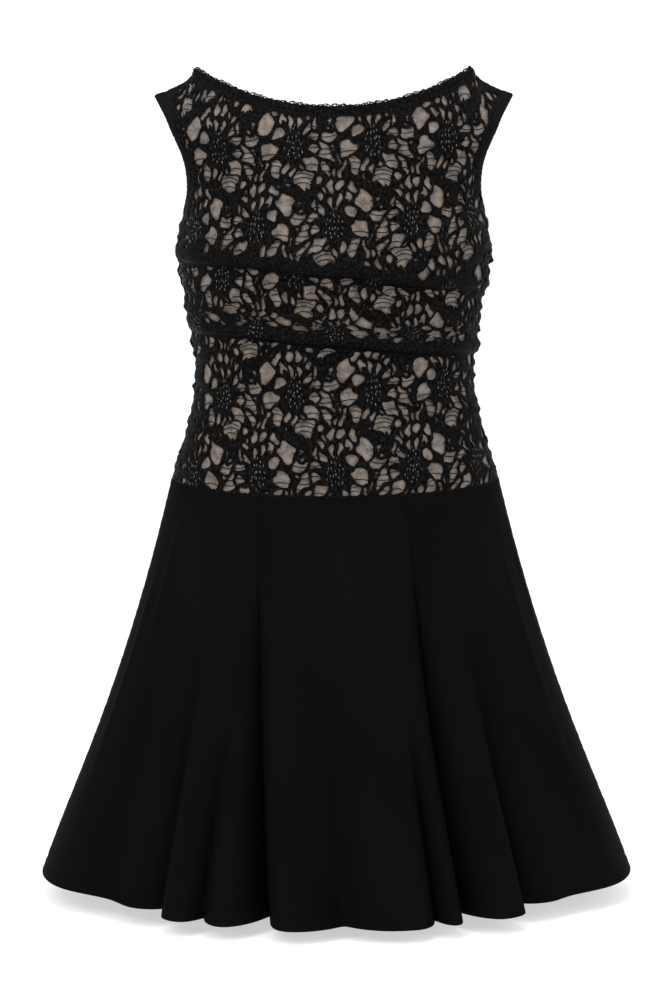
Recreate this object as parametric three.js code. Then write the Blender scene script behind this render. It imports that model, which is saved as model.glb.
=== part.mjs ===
// Sleeveless a-line dress: a lace bodice over a nude lining, gathered at the side seams, and a flared skirt of six gores.
// Millimetres, +Z up, the front towards -Y. The origin is midway between the two shoulder seams, where they meet the neck.
// Left and right are as seen from the front, so left is -X.
import * as THREE from 'three';

const radians = THREE.MathUtils.degToRad;
const mix = THREE.MathUtils.lerp;
const clamp = THREE.MathUtils.clamp;

// Driving sizes
const NECK_POINT = { x: 149, z: -4 };
const NECK_DROP = { front: 43, back: 68 };
const NECK_DEPTH = { front: 88, back: 80 };
const NECK_TURN = 60;
const NECK_FLATNESS = 2.2;
const SHOULDER_END = { x: 194, z: -34.5 };
const SHOULDER_SAG = 0.5;
const UNDERARM = { x: 160, z: -150 };
const BODICE_BASE_LEVEL = 0;
const SIDE_SEAM_TOP_LEVEL = 5;
const SKIRT_HEM = { side: -885, middle: -897, halfWidth: 324, front: 268, back: 262 };
const SEAM_GAP = 0.3;
// The bands' seams run slantwise to the rows of points, so more room is left along a row
const BAND_GAP = 0.8;
const NECK_BAND_WIDTH = 8;
const ARMHOLE_BAND_WIDTH = 11;

// Each cloth lies between two distances out from the bodice's base surface
const LINING = { inside: -1, outside: 0 };
const LACE = { inside: 1.1, outside: 2.1 };
const BAND = { inside: -0.9, outside: 2.1 };
const SKIRT_CLOTH = { inside: 0.8, outside: 2 };

// Sections of the bodice from the waist seam up. frontZ, front, backZ and back are the height and depth at the centre lines;
// edgeZ, halfWidth and edge are the height, half width and depth at the side seam or armhole; turn is the arc in degrees.
const SECTIONS = [
  { at: 'waist seam', edgeZ: -450, halfWidth: 177.5, edge: 0, turn: 90, frontZ: -461, front: 117, backZ: -456, back: 118 },
  { at: 'high hip', edgeZ: -398, halfWidth: 160.5, edge: 0, turn: 90, frontZ: -405, front: 109, backZ: -402, back: 108 },
  { at: 'waist', edgeZ: -338, halfWidth: 149.5, edge: 0, turn: 90, frontZ: -342, front: 104, backZ: -341, back: 96 },
  { at: 'ribs', edgeZ: -268, halfWidth: 157, edge: 0, turn: 90, frontZ: -269, front: 116, backZ: -270, back: 101 },
  { at: 'bust', edgeZ: -205, halfWidth: 167.5, edge: 0, turn: 90, frontZ: -205, front: 129, backZ: -208, back: 106 },
  { at: 'side seam top', edgeZ: -161.3, halfWidth: 162.5, edge: 0, turn: 90, frontZ: -161, front: 124, backZ: -166, back: 106 },
  { at: 'low armhole', edgeZ: -134, halfWidth: 157.5, edge: 27, turn: 76, frontZ: -132, front: 117, backZ: -142, back: 104 },
  { at: 'mid armhole', edgeZ: -102, halfWidth: 161, edge: 42, turn: 66, frontZ: -103, front: 109, backZ: -119, back: 100 },
  { at: 'high armhole', edgeZ: -64, halfWidth: 177.5, edge: 37, turn: 60, frontZ: -74, front: 100, backZ: -95, back: 92 },
];
const TOP_LEVEL = SECTIONS.length;

// Cells of the bodice cloths: columns across a panel and the heights of the rows at the front centre line
const COLUMNS = 18;
const NECK_COLUMN = (COLUMNS - 2) / COLUMNS;
const EVEN_OUT = 0.055;
const ROW_HEIGHTS = [-434, -407, -380, -353, -326, -266, -250, -196, -178.5];
const SUB_ROWS = 4;

// Folds that cross a whole bodice panel, each inside the row of cells that starts at its base height.
// left and right are the crest's place in that row, from 0 at its foot to 1; height is in mm out from the cloth.
const BODICE_FOLDS = {
  front: [
    { base: -326, left: 0.8, right: 0.3, height: 7, centre: 0.05, reach: 0.95 },
    { base: -250, left: 0.8, right: 0.3, height: 8.5, centre: -0.1, reach: 0.7 },
  ],
  back: [
    { base: -326, left: 0.34, right: 0.7, height: 7, centre: 0.1, reach: 0.8 },
    { base: -250, left: 0.4, right: 0.74, height: 7.5, centre: -0.05, reach: 0.9 },
  ],
};
const FOLD_PROFILE = [
  { along: -0.2, rise: 0.15 },
  { along: -0.08, rise: 1 },
  { along: 0.16, rise: 0.5 },
];
const FOLD_AT_SEAM = 0.3;

// Gathers at the side seams: the mean rise of a crest, how much it varies, and the share of it left one column in
const GATHER = { rise: 2.4, vary: 0.9, inwardShare: 0.45 };

// One flower of the lace takes four cells across and three up, and the next row of flowers is two cells over.
// open is how far the gap reaches from the cell's middle, 0 where the cloth is closed; tilt turns the gap, in degrees.
const LACE_REPEAT = { columns: 4, rows: 3, shift: 2 };
const LACE_CELLS = [
  { column: 0, row: 0, open: 0, sides: 4, tilt: 0 },
  { column: 1, row: 0, open: 0.72, sides: 4, tilt: 35 },
  { column: 2, row: 0, open: 0.84, sides: 4, tilt: 0 },
  { column: 3, row: 0, open: 0.72, sides: 4, tilt: 55 },
  { column: 0, row: 1, open: 0.66, sides: 4, tilt: 0 },
  { column: 1, row: 1, open: 0.8, sides: 6, tilt: 10 },
  { column: 2, row: 1, open: 0, sides: 4, tilt: 0 },
  { column: 3, row: 1, open: 0.74, sides: 4, tilt: 40 },
  { column: 0, row: 2, open: 0.86, sides: 4, tilt: 0 },
  { column: 1, row: 2, open: 0.7, sides: 4, tilt: 50 },
  { column: 2, row: 2, open: 0.6, sides: 4, tilt: 0 },
  { column: 3, row: 2, open: 0.78, sides: 5, tilt: 20 },
];
// How the corners of the repeat's cells are moved, in cells
const LACE_NUDGES = [
  { column: 0, row: 0, across: -0.1, up: -0.08 },
  { column: 1, row: 0, across: 0.12, up: -0.06 },
  { column: 2, row: 0, across: 0.05, up: 0.12 },
  { column: 3, row: 0, across: -0.1, up: 0.05 },
  { column: 0, row: 1, across: 0.04, up: 0.12 },
  { column: 1, row: 1, across: -0.06, up: 0.1 },
  { column: 2, row: 1, across: -0.12, up: -0.08 },
  { column: 3, row: 1, across: 0.12, up: -0.1 },
  { column: 0, row: 2, across: 0.1, up: -0.06 },
  { column: 1, row: 2, across: -0.05, up: -0.12 },
  { column: 2, row: 2, across: 0.1, up: 0.06 },
  { column: 3, row: 2, across: 0, up: 0.12 },
];

// Valleys between the skirt's flares, as angles round from the front centre, at the waist seam and at the hem.
// width is a half width in degrees, depth and lean are in mm at the hem, start is where the valley begins, 0 at the seam.
const SKIRT_VALLEYS = [
  { top: -54, hem: -53, width: 12, depth: 26, lean: 0, start: 0.25 },
  { top: -42, hem: -40, width: 4, depth: 22, lean: 8, start: 0.3 },
  { top: -30, hem: -26.6, width: 2.6, depth: 22, lean: -6, start: 0.45 },
  { top: -27, hem: -15.8, width: 3.6, depth: 44, lean: 4, start: 0.1 },
  { top: 1, hem: 1.5, width: 6, depth: 22, lean: 0, start: 0.45 },
  { top: 17, hem: 19.5, width: 2.4, depth: 20, lean: 4, start: 0.5 },
  { top: 24.4, hem: 28, width: 3, depth: 42, lean: -4, start: 0.1 },
  { top: 40, hem: 44, width: 4, depth: 24, lean: -8, start: 0.28 },
  { top: 55, hem: 54, width: 12, depth: 26, lean: 0, start: 0.25 },
  { top: 108, hem: 109, width: 7, depth: 24, lean: 5, start: 0.3 },
  { top: 131, hem: 132, width: 5, depth: 32, lean: -5, start: 0.35 },
  { top: 153, hem: 157, width: 4.5, depth: 42, lean: 5, start: 0.12 },
  { top: 178, hem: 177, width: 6, depth: 26, lean: 0, start: 0.4 },
  { top: 206, hem: 201, width: 4.5, depth: 42, lean: -5, start: 0.12 },
  { top: 229, hem: 226, width: 5.5, depth: 30, lean: 5, start: 0.35 },
  { top: 252, hem: 250, width: 7, depth: 22, lean: -5, start: 0.3 },
];
const VALLEY_GROWTH = 1.25;
const SKIRT_SAG = 0.3;
const SKIRT_ROWS = [0, 0.14, 0.3, 0.46, 0.62, 0.77, 0.9, 1];

// Gores of the skirt, each between two seams given by their angles at the waist seam and at the hem
const SEAMS = {
  sideLeft: { top: -90, hem: -90 },
  frontLeft: { top: -27, hem: -15.8 },
  frontRight: { top: 24.4, hem: 28 },
  sideRight: { top: 90, hem: 90 },
  backRight: { top: 153, hem: 157 },
  backLeft: { top: 206, hem: 201 },
  sideLeftAgain: { top: 270, hem: 270 },
};
const GORES = [
  { name: 'skirt_side_front_left', from: SEAMS.sideLeft, to: SEAMS.frontLeft, columns: 24 },
  { name: 'skirt_centre_front', from: SEAMS.frontLeft, to: SEAMS.frontRight, columns: 20 },
  { name: 'skirt_side_front_right', from: SEAMS.frontRight, to: SEAMS.sideRight, columns: 22 },
  { name: 'skirt_side_back_right', from: SEAMS.sideRight, to: SEAMS.backRight, columns: 18 },
  { name: 'skirt_centre_back', from: SEAMS.backRight, to: SEAMS.backLeft, columns: 15 },
  { name: 'skirt_side_back_left', from: SEAMS.backLeft, to: SEAMS.sideLeftAgain, columns: 18 },
];

const lace = new THREE.MeshStandardMaterial({ color: 0x0c0c0e, roughness: 0.85, metalness: 0 });
const nude = new THREE.MeshStandardMaterial({ color: 0xab8f7c, roughness: 0.8, metalness: 0 });
const band = new THREE.MeshStandardMaterial({ color: 0x0e0e10, roughness: 0.8, metalness: 0 });
const crepe = new THREE.MeshStandardMaterial({ color: 0x101012, roughness: 0.7, metalness: 0 });

// A sheet of cloth: points with the direction that faces out, and faces that turn anticlockwise seen from outside.
// Its solid has an outer and an inner skin, and a narrow wall along every edge.
class Sheet {
  constructor(cloth, mirrored) {
    this.cloth = cloth;
    this.mirrored = mirrored;
    this.points = [];
    this.faces = [];
    this.named = new Map();
  }

  add(name, spot) {
    if (!this.named.has(name)) {
      this.named.set(name, this.points.length);
      this.points.push(spot());
    }
    return this.named.get(name);
  }

  face(a, b, c) {
    this.faces.push(this.mirrored ? [a, c, b] : [a, b, c]);
  }

  // Fills the strip between two chains of points that run the same way, the second to the left of the first
  strip(right, left) {
    let i = 0;
    let j = 0;
    while (i < right.length - 1 || j < left.length - 1) {
      const nextRight = i < right.length - 1 ? (i + 1) / (right.length - 1) : Infinity;
      const nextLeft = j < left.length - 1 ? (j + 1) / (left.length - 1) : Infinity;
      if (nextRight <= nextLeft) {
        this.face(left[j], right[i], right[i + 1]);
        i += 1;
      } else {
        this.face(left[j], right[i], left[j + 1]);
        j += 1;
      }
    }
  }

  // Fills the ring between a loop and a hole in it, both anticlockwise lists of { point, angle } with rising angles
  ring(loop, hole) {
    let i = 0;
    let j = 0;
    const at = (list, k) => list[k % list.length];
    const angle = (list, k) => at(list, k).angle + (k >= list.length ? 360 : 0);
    while (i < loop.length || j < hole.length) {
      const loopFirst = j >= hole.length || (i < loop.length && angle(loop, i + 1) <= angle(hole, j + 1));
      if (loopFirst) {
        this.face(at(loop, i).point, at(loop, i + 1).point, at(hole, j).point);
        i += 1;
      } else {
        this.face(at(loop, i).point, at(hole, j + 1).point, at(hole, j).point);
        j += 1;
      }
    }
  }

  geometry() {
    const count = this.points.length;
    const positions = [];
    for (const distance of [this.cloth.outside, this.cloth.inside]) {
      for (const { position, out, rise } of this.points) {
        const moved = position.clone().addScaledVector(out, distance + rise);
        positions.push(moved.x, moved.y, moved.z);
      }
    }
    const index = [];
    const edges = new Map();
    for (const [a, b, c] of this.faces) {
      index.push(a, b, c, a + count, c + count, b + count);
      for (const [from, to] of [[a, b], [b, c], [c, a]]) {
        const back = `${to} ${from}`;
        if (edges.has(back)) {
          edges.delete(back);
        } else {
          edges.set(`${from} ${to}`, [from, to]);
        }
      }
    }
    for (const [from, to] of edges.values()) {
      index.push(from, from + count, to + count, from, to + count, to);
    }
    return meshGeometry(positions, index);
  }
}

function meshGeometry(positions, index) {
  const geometry = new THREE.BufferGeometry();
  geometry.setAttribute('position', new THREE.Float32BufferAttribute(positions, 3));
  geometry.setIndex(index);
  geometry.computeVertexNormals();
  return geometry;
}

function named(name, geometry, material) {
  const mesh = new THREE.Mesh(geometry, material);
  mesh.name = name;
  return mesh;
}

// Bodice surface. sign is -1 on the front and 1 on the back, share runs from -1 to 1 between a panel's edges,
// and level runs from 0 at the waist seam to TOP_LEVEL at the neck and shoulder.
const faceOf = (sign) => (sign < 0 ? 'front' : 'back');
const columnShare = (column) => column - EVEN_OUT * Math.sin(Math.PI * column);
const NECK_SHARE = columnShare(NECK_COLUMN);

function arcPlace(share, turn) {
  const angle = radians(share * turn);
  const end = radians(turn);
  return {
    across: Math.sin(angle) / Math.sin(end),
    bulge: (Math.cos(angle) - Math.cos(end)) / (1 - Math.cos(end)),
  };
}

function sectionPoint(sign, share, section) {
  const face = faceOf(sign);
  const { across, bulge } = arcPlace(share, section.turn);
  return new THREE.Vector3(
    section.halfWidth * across,
    sign * mix(section.edge, section[face], bulge),
    mix(section.edgeZ, section[`${face}Z`], bulge),
  );
}

function neckOrShoulderPoint(sign, share) {
  const face = faceOf(sign);
  const reach = Math.abs(share) / NECK_SHARE;
  if (reach >= 1) {
    const along = (Math.abs(share) - NECK_SHARE) / (1 - NECK_SHARE);
    const x = mix(NECK_POINT.x, SHOULDER_END.x, along);
    return new THREE.Vector3(Math.sign(share) * x, 0, mix(NECK_POINT.z, SHOULDER_END.z, along ** SHOULDER_SAG));
  }
  const { across, bulge } = arcPlace(Math.sign(share) * reach, NECK_TURN);
  const drop = NECK_DROP[face] * (1 - Math.abs(across) ** NECK_FLATNESS);
  return new THREE.Vector3(NECK_POINT.x * across, sign * NECK_DEPTH[face] * bulge, NECK_POINT.z - drop);
}

function levelPoint(sign, share, level) {
  const inside = clamp(level, 0, TOP_LEVEL);
  return inside === TOP_LEVEL ? neckOrShoulderPoint(sign, share) : sectionPoint(sign, share, SECTIONS[inside]);
}

function catmullRom(before, from, to, after, t) {
  return from.clone().multiplyScalar(2)
    .add(to.clone().sub(before).multiplyScalar(t))
    .add(before.clone().multiplyScalar(2).addScaledVector(from, -5).addScaledVector(to, 4).sub(after).multiplyScalar(t * t))
    .add(from.clone().sub(to).multiplyScalar(3).add(after).sub(before).multiplyScalar(t ** 3))
    .multiplyScalar(0.5);
}

function bodicePoint(sign, share, level) {
  const from = Math.min(Math.floor(level), TOP_LEVEL - 1);
  const [before, here, next, after] = [-1, 0, 1, 2].map((step) => levelPoint(sign, share, from + step));
  return catmullRom(before, here, next, after, level - from);
}

// A spot on the bodice: the point, kept just clear of the other panel, and the direction that faces out of the dress
function bodiceSpot(sign, share, level, rise = 0) {
  const step = 0.002;
  const shares = [Math.max(share - step, -1), Math.min(share + step, 1)];
  const levels = [Math.max(level - step, 0), Math.min(level + step, TOP_LEVEL)];
  const across = bodicePoint(sign, shares[1], level).sub(bodicePoint(sign, shares[0], level));
  const up = bodicePoint(sign, share, levels[1]).sub(bodicePoint(sign, share, levels[0]));
  const out = across.cross(up).multiplyScalar(-sign);
  const position = bodicePoint(sign, share, level);
  if (sign * position.y <= SEAM_GAP / 2) {
    position.y = sign * SEAM_GAP / 2;
    out.y = 0;
  }
  return { position, out: out.normalize(), rise };
}

function bisect(low, high, isBelow) {
  let [from, to] = [low, high];
  for (let i = 0; i < 40; i += 1) {
    const middle = (from + to) / 2;
    if (isBelow(middle)) {
      from = middle;
    } else {
      to = middle;
    }
  }
  return (from + to) / 2;
}

const levelAtHeight = (height) => bisect(0, TOP_LEVEL, (level) => bodicePoint(-1, 0, level).z < height);

function levelBelowNeck(sign, share, distance) {
  const neck = neckOrShoulderPoint(sign, share);
  return bisect(0, TOP_LEVEL, (level) => bodicePoint(sign, share, level).distanceTo(neck) > distance);
}

function shareInFromEdge(sign, level, distance) {
  const edge = bodicePoint(sign, 1, level);
  return bisect(0, 1, (share) => bodicePoint(sign, share, level).distanceTo(edge) > distance);
}

const shareFromNeckPoint = (distance) => {
  const neckPoint = neckOrShoulderPoint(-1, NECK_SHARE);
  return bisect(NECK_SHARE, 1, (share) => neckOrShoulderPoint(-1, share).distanceTo(neckPoint) < distance);
};

// The rows of cells, as levels, with the bodice's own base and the rows of the armhole
const rows = [BODICE_BASE_LEVEL, ...ROW_HEIGHTS.map(levelAtHeight), SIDE_SEAM_TOP_LEVEL, 6, 7, 8, TOP_LEVEL];
const baseLift = (SEAM_GAP / 2) / (SECTIONS[1].frontZ - SECTIONS[0].frontZ);

// Where a corner of the cells lies: row and column may be fractions. clear is the room left for the bands.
function cornerPlace(sign, column, row, clear) {
  const side = Math.sign(column);
  const from = Math.min(Math.floor(row), rows.length - 2);
  const level = mix(rows[from], rows[from + 1], row - from);
  if (row === 0) {
    return { share: columnShare(column), level: baseLift };
  }
  if (level === TOP_LEVEL) {
    if (Math.abs(column) === 1) {
      return { share: side * shareInFromEdge(sign, level, ARMHOLE_BAND_WIDTH + clear), level };
    }
    if (Math.abs(column) >= NECK_COLUMN - 1e-9) {
      return { share: side * shareFromNeckPoint(NECK_BAND_WIDTH + clear), level };
    }
    const share = columnShare(column);
    return { share, level: levelBelowNeck(sign, share, NECK_BAND_WIDTH + clear) };
  }
  if (Math.abs(column) === 1 && level > SIDE_SEAM_TOP_LEVEL) {
    return { share: side * shareInFromEdge(sign, level, ARMHOLE_BAND_WIDTH + clear), level };
  }
  return { share: columnShare(column), level };
}

const columnAt = (i) => (2 * i) / COLUMNS - 1;

function liningPanel(sign) {
  const sheet = new Sheet(LINING, sign > 0);
  const corner = (i, row) => sheet.add(`${i} ${row}`, () => {
    const { share, level } = cornerPlace(sign, columnAt(i), row, BAND_GAP);
    return bodiceSpot(sign, share, level);
  });
  for (let row = 0; row < rows.length - 1; row += 1) {
    for (let i = 0; i < COLUMNS; i += 1) {
      sheet.strip([corner(i + 1, row), corner(i + 1, row + 1)], [corner(i, row), corner(i, row + 1)]);
    }
  }
  return sheet.geometry();
}

// Ruching: the folds across a panel, and the gathers at its side seams
function foldInRow(sign, row) {
  const base = ROW_HEIGHTS[row - 1];
  return BODICE_FOLDS[faceOf(sign)].find((fold) => fold.base === base);
}

function foldRise(fold, column, step) {
  const far = clamp((Math.abs(column - fold.centre) - fold.reach / 2) / (1 - fold.reach / 2), 0, 1);
  return fold.height * FOLD_PROFILE[step].rise * mix(1, FOLD_AT_SEAM, far * far * (3 - 2 * far));
}

function gatherRise(row, step) {
  const crest = row * 2 + (step < 2 ? 0 : 1);
  return GATHER.rise + GATHER.vary * Math.sin(crest * 2.3) * Math.cos(crest * 0.9);
}

function laceRise(sign, i, row, step) {
  if (step === 0) {
    return 0;
  }
  const fold = foldInRow(sign, row);
  if (fold) {
    return foldRise(fold, columnAt(i), step - 1);
  }
  const fromSide = Math.min(i, COLUMNS - i);
  const crest = step % 2 === 1;
  return crest ? gatherRise(row, step) * (fromSide === 0 ? 1 : GATHER.inwardShare) : 0;
}

// How many steps the lace takes up a cell row in a column: the gathers and folds need several, plain cloth one
function stepsAt(sign, i, row) {
  if (rows[row] >= SIDE_SEAM_TOP_LEVEL) {
    return 1;
  }
  return foldInRow(sign, row) || Math.min(i, COLUMNS - i) <= 1 ? SUB_ROWS : 1;
}

function repeatPlace(i, row) {
  const flowerRow = Math.floor(row / LACE_REPEAT.rows);
  const shifted = i + (flowerRow % 2) * LACE_REPEAT.shift;
  return { column: shifted % LACE_REPEAT.columns, row: row % LACE_REPEAT.rows };
}

const inRepeat = (table, i, row) => {
  const place = repeatPlace(i, row);
  return table.find((entry) => entry.column === place.column && entry.row === place.row);
};

// The corner where a lace cell starts. Corners inside the panel are nudged, so that the gaps differ as in real lace.
function laceCorner(sign, i, row) {
  const fixed = i <= 2 || i >= COLUMNS - 2 || row === 0 || row >= rows.length - 2 || foldInRow(sign, row)
    || foldInRow(sign, row - 1);
  const nudge = fixed ? { across: 0, up: 0 } : inRepeat(LACE_NUDGES, i, row);
  return cornerPlace(sign, columnAt(i + nudge.across), row + nudge.up, BAND_GAP);
}

function foldStepPlace(sign, i, row, step) {
  const fold = foldInRow(sign, row);
  const column = columnAt(i);
  if (!fold) {
    return cornerPlace(sign, column, row + step / SUB_ROWS, BAND_GAP);
  }
  const crest = mix(fold.left, fold.right, (column + 1) / 2);
  return cornerPlace(sign, column, row + clamp(crest + FOLD_PROFILE[step - 1].along, 0.06, 0.94), BAND_GAP);
}

function gapLoop(sheet, sign, cell, i, row, corners) {
  const loop = [];
  for (let k = 0; k < cell.sides; k += 1) {
    const angle = radians(cell.tilt + (360 * k) / cell.sides);
    const [u, v] = [cell.open * Math.cos(angle), cell.open * Math.sin(angle)];
    const weights = [(1 - u) * (1 - v), (1 + u) * (1 - v), (1 + u) * (1 + v), (1 - u) * (1 + v)];
    const share = corners.reduce((sum, corner, n) => sum + corner.share * weights[n] / 4, 0);
    const level = corners.reduce((sum, corner, n) => sum + corner.level * weights[n] / 4, 0);
    const point = sheet.add(`gap ${i} ${row} ${k}`, () => bodiceSpot(sign, share, level));
    loop.push({ point, angle: (THREE.MathUtils.radToDeg(Math.atan2(v, u)) + 135 + 360) % 360 });
  }
  return loop.sort((a, b) => a.angle - b.angle);
}

function lacePanel(sign) {
  const sheet = new Sheet(LACE, sign > 0);
  const spotOf = ({ share, level }, rise) => bodiceSpot(sign, share, level, rise);
  const corner = (i, row) => sheet.add(`${i} ${row}`, () => spotOf(laceCorner(sign, i, row), 0));
  const chain = (i, row) => {
    const points = [corner(i, row)];
    for (let step = 1; step < stepsAt(sign, i, row); step += 1) {
      points.push(sheet.add(`${i} ${row} ${step}`, () => (
        spotOf(foldStepPlace(sign, i, row, step), laceRise(sign, i, row, step)))));
    }
    return [...points, corner(i, row + 1)];
  };
  for (let row = 0; row < rows.length - 1; row += 1) {
    for (let i = 0; i < COLUMNS; i += 1) {
      const left = chain(i, row);
      const right = chain(i + 1, row);
      const cell = inRepeat(LACE_CELLS, i, row);
      const plain = left.length === 2 && right.length === 2 && i > 0 && i < COLUMNS - 1;
      if (plain && cell.open > 0) {
        const places = [[i, row], [i + 1, row], [i + 1, row + 1], [i, row + 1]];
        const corners = places.map(([column, up]) => laceCorner(sign, column, up));
        const loop = places.map(([column, up], k) => ({ point: corner(column, up), angle: 90 * k }));
        sheet.ring(loop, gapLoop(sheet, sign, cell, i, row, corners));
      } else {
        sheet.strip(right, left);
      }
    }
  }
  return sheet.geometry();
}

// A closed band: stations round an opening, each with a spot at the opening's edge and one at the cloth
function bandRing(stations) {
  const positions = [];
  for (const { edge, cloth } of stations) {
    for (const [spot, distance] of [[edge, BAND.outside], [edge, BAND.inside], [cloth, BAND.inside], [cloth, BAND.outside]]) {
      const moved = spot.position.clone().addScaledVector(spot.out, distance);
      positions.push(moved.x, moved.y, moved.z);
    }
  }
  const index = [];
  const sides = 4;
  stations.forEach((_, s) => {
    const [here, next] = [s * sides, ((s + 1) % stations.length) * sides];
    for (let k = 0; k < sides; k += 1) {
      const [a, b] = [k, (k + 1) % sides];
      index.push(here + a, next + a, next + b, here + a, next + b, here + b);
    }
  });
  return meshGeometry(positions, index);
}

const middleSpot = (a, b) => ({
  position: a.position.clone().lerp(b.position, 0.5),
  out: a.out.clone().lerp(b.out, 0.5).normalize(),
});

const onSeam = (spot) => {
  spot.position.y = 0;
  return spot;
};

function neckStations() {
  const stations = [];
  const half = COLUMNS / 2 - 1;
  for (const sign of [-1, 1]) {
    for (let i = -half; i < half; i += 1) {
      const column = (-sign * i * 2) / COLUMNS;
      const atPoint = Math.abs(i) === half;
      const place = cornerPlace(sign, column, rows.length - 1, 0);
      const edge = bodiceSpot(sign, columnShare(column), TOP_LEVEL);
      const cloth = bodiceSpot(sign, place.share, place.level);
      stations.push(atPoint ? { edge: onSeam(edge), cloth: onSeam(cloth) } : { edge, cloth });
    }
  }
  return stations;
}

function armholeHalf(sign) {
  const low = SIDE_SEAM_TOP_LEVEL;
  const underarm = bodiceSpot(sign, 1, low);
  underarm.position.set(UNDERARM.x, 0, UNDERARM.z);
  const seamTop = onSeam(bodiceSpot(sign, 1, low));
  seamTop.position.z += SEAM_GAP;
  const stations = [{ edge: underarm, cloth: seamTop }];
  for (let row = rows.indexOf(low) + 1; row < rows.length; row += 1) {
    const place = cornerPlace(sign, 1, row, 0);
    stations.push({ edge: bodiceSpot(sign, 1, rows[row]), cloth: bodiceSpot(sign, place.share, place.level) });
  }
  const first = stations[1];
  const bend = middleSpot(middleSpot(underarm, first.edge), first.edge);
  bend.position.z = mix(underarm.position.z, first.edge.position.z, 0.25);
  stations.splice(1, 0, { edge: bend, cloth: middleSpot(seamTop, first.cloth) });
  const top = stations[stations.length - 1];
  onSeam(top.edge);
  onSeam(top.cloth);
  return stations;
}

function armholeStations() {
  const front = armholeHalf(-1);
  const back = armholeHalf(1);
  return [...back, ...front.slice(1, -1).reverse()];
}

// A geometry's mirror image in X, with its faces turned to point out again
function mirrored(geometry) {
  const positions = Array.from(geometry.getAttribute('position').array);
  for (let i = 0; i < positions.length; i += 3) {
    positions[i] = -positions[i];
  }
  return meshGeometry(positions, Array.from(geometry.getIndex().array).reverse());
}

// Skirt surface. angle goes round from the front centre towards the right, and drop from 0 at the seam to 1 at the hem.
function seamHeight(angle) {
  const waist = SECTIONS[0];
  const middle = Math.cos(radians(angle)) >= 0 ? waist.frontZ : waist.backZ;
  return mix(waist.edgeZ, middle, Math.abs(Math.cos(radians(angle)))) - SEAM_GAP / 2;
}

function flared(from, to, drop) {
  return mix(from, to, drop - SKIRT_SAG * drop * (1 - drop) * (1 - drop ** 4));
}

function conePoint(angle, drop) {
  const waist = SECTIONS[0];
  const turned = radians(angle);
  const face = Math.cos(turned) >= 0 ? 'front' : 'back';
  const hemZ = mix(SKIRT_HEM.side, SKIRT_HEM.middle, Math.cos(turned) ** 2);
  return new THREE.Vector3(
    flared(waist.halfWidth, SKIRT_HEM.halfWidth, drop) * Math.sin(turned),
    -flared(waist[face], SKIRT_HEM[face], drop) * Math.cos(turned),
    mix(seamHeight(angle), hemZ, drop),
  );
}

function coneOut(angle, drop) {
  const step = 0.5;
  const across = conePoint(angle + step, drop).sub(conePoint(angle - step, drop));
  const out = new THREE.Vector3(across.y, -across.x, 0);
  return out.normalize();
}

function angleFrom(angle, centre) {
  return ((angle - centre + 540) % 360) - 180;
}

function skirtPoint(angle, drop) {
  const out = coneOut(angle, drop);
  const along = new THREE.Vector3(-out.y, out.x, 0);
  const point = conePoint(angle, drop);
  for (const valley of SKIRT_VALLEYS) {
    const grown = clamp((drop - valley.start) / (1 - valley.start), 0, 1) ** VALLEY_GROWTH;
    const away = angleFrom(angle, mix(valley.top, valley.hem, drop)) / valley.width;
    const share = grown * Math.exp(-away * away);
    point.addScaledVector(out, -valley.depth * share).addScaledVector(along, valley.lean * share);
  }
  return point;
}

function skirtSpot(angle, drop, aside) {
  const turn = 0.2;
  const fall = 0.01;
  const across = skirtPoint(angle + turn, drop).sub(skirtPoint(angle - turn, drop));
  const up = skirtPoint(angle, drop - fall).sub(skirtPoint(angle, drop + fall));
  const out = across.clone().cross(up).normalize();
  out.z = 0;
  const position = skirtPoint(angle, drop).addScaledVector(across.normalize(), aside);
  return { position, out: out.normalize(), rise: 0 };
}

// The angles of a gore's columns, as ends at the seam and the hem: evenly spaced, save that the column nearest
// to the floor of a valley lies along it
function goreColumns({ from, to, columns }) {
  const ends = Array.from({ length: columns + 1 }, (_, i) => ({
    top: mix(from.top, to.top, i / columns),
    hem: mix(from.hem, to.hem, i / columns),
  }));
  for (const { top, hem } of SKIRT_VALLEYS) {
    const nearest = Math.round(((hem - from.hem) / (to.hem - from.hem)) * columns);
    if (nearest > 0 && nearest < columns) {
      ends[nearest] = { top: mix(ends[nearest].top, top, 0.5), hem };
    }
  }
  return ends;
}

function gore(piece) {
  const { name, columns } = piece;
  const ends = goreColumns(piece);
  const sheet = new Sheet(SKIRT_CLOTH, false);
  const corner = (i, row) => sheet.add(`${i} ${row}`, () => {
    const drop = SKIRT_ROWS[row];
    const angle = mix(ends[i].top, ends[i].hem, drop);
    const towardsMiddle = Number(i === 0) - Number(i === columns);
    return skirtSpot(angle, drop, towardsMiddle * SEAM_GAP / 2);
  });
  for (let row = 0; row < SKIRT_ROWS.length - 1; row += 1) {
    for (let i = 0; i < columns; i += 1) {
      sheet.strip([corner(i + 1, row + 1), corner(i + 1, row)], [corner(i, row + 1), corner(i, row)]);
    }
  }
  return named(name, sheet.geometry(), crepe);
}

const dress = new THREE.Group();
dress.add(named('lining_front', liningPanel(-1), nude));
dress.add(named('lining_back', liningPanel(1), nude));
dress.add(named('lace_front', lacePanel(-1), lace));
dress.add(named('lace_back', lacePanel(1), lace));
dress.add(named('neck_edging', bandRing(neckStations()), band));
const armhole = bandRing(armholeStations());
dress.add(named('armhole_binding_right', armhole, band));
dress.add(named('armhole_binding_left', mirrored(armhole), band));
for (const piece of GORES) {
  dress.add(gore(piece));
}

export default dress;
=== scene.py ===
import math

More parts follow.
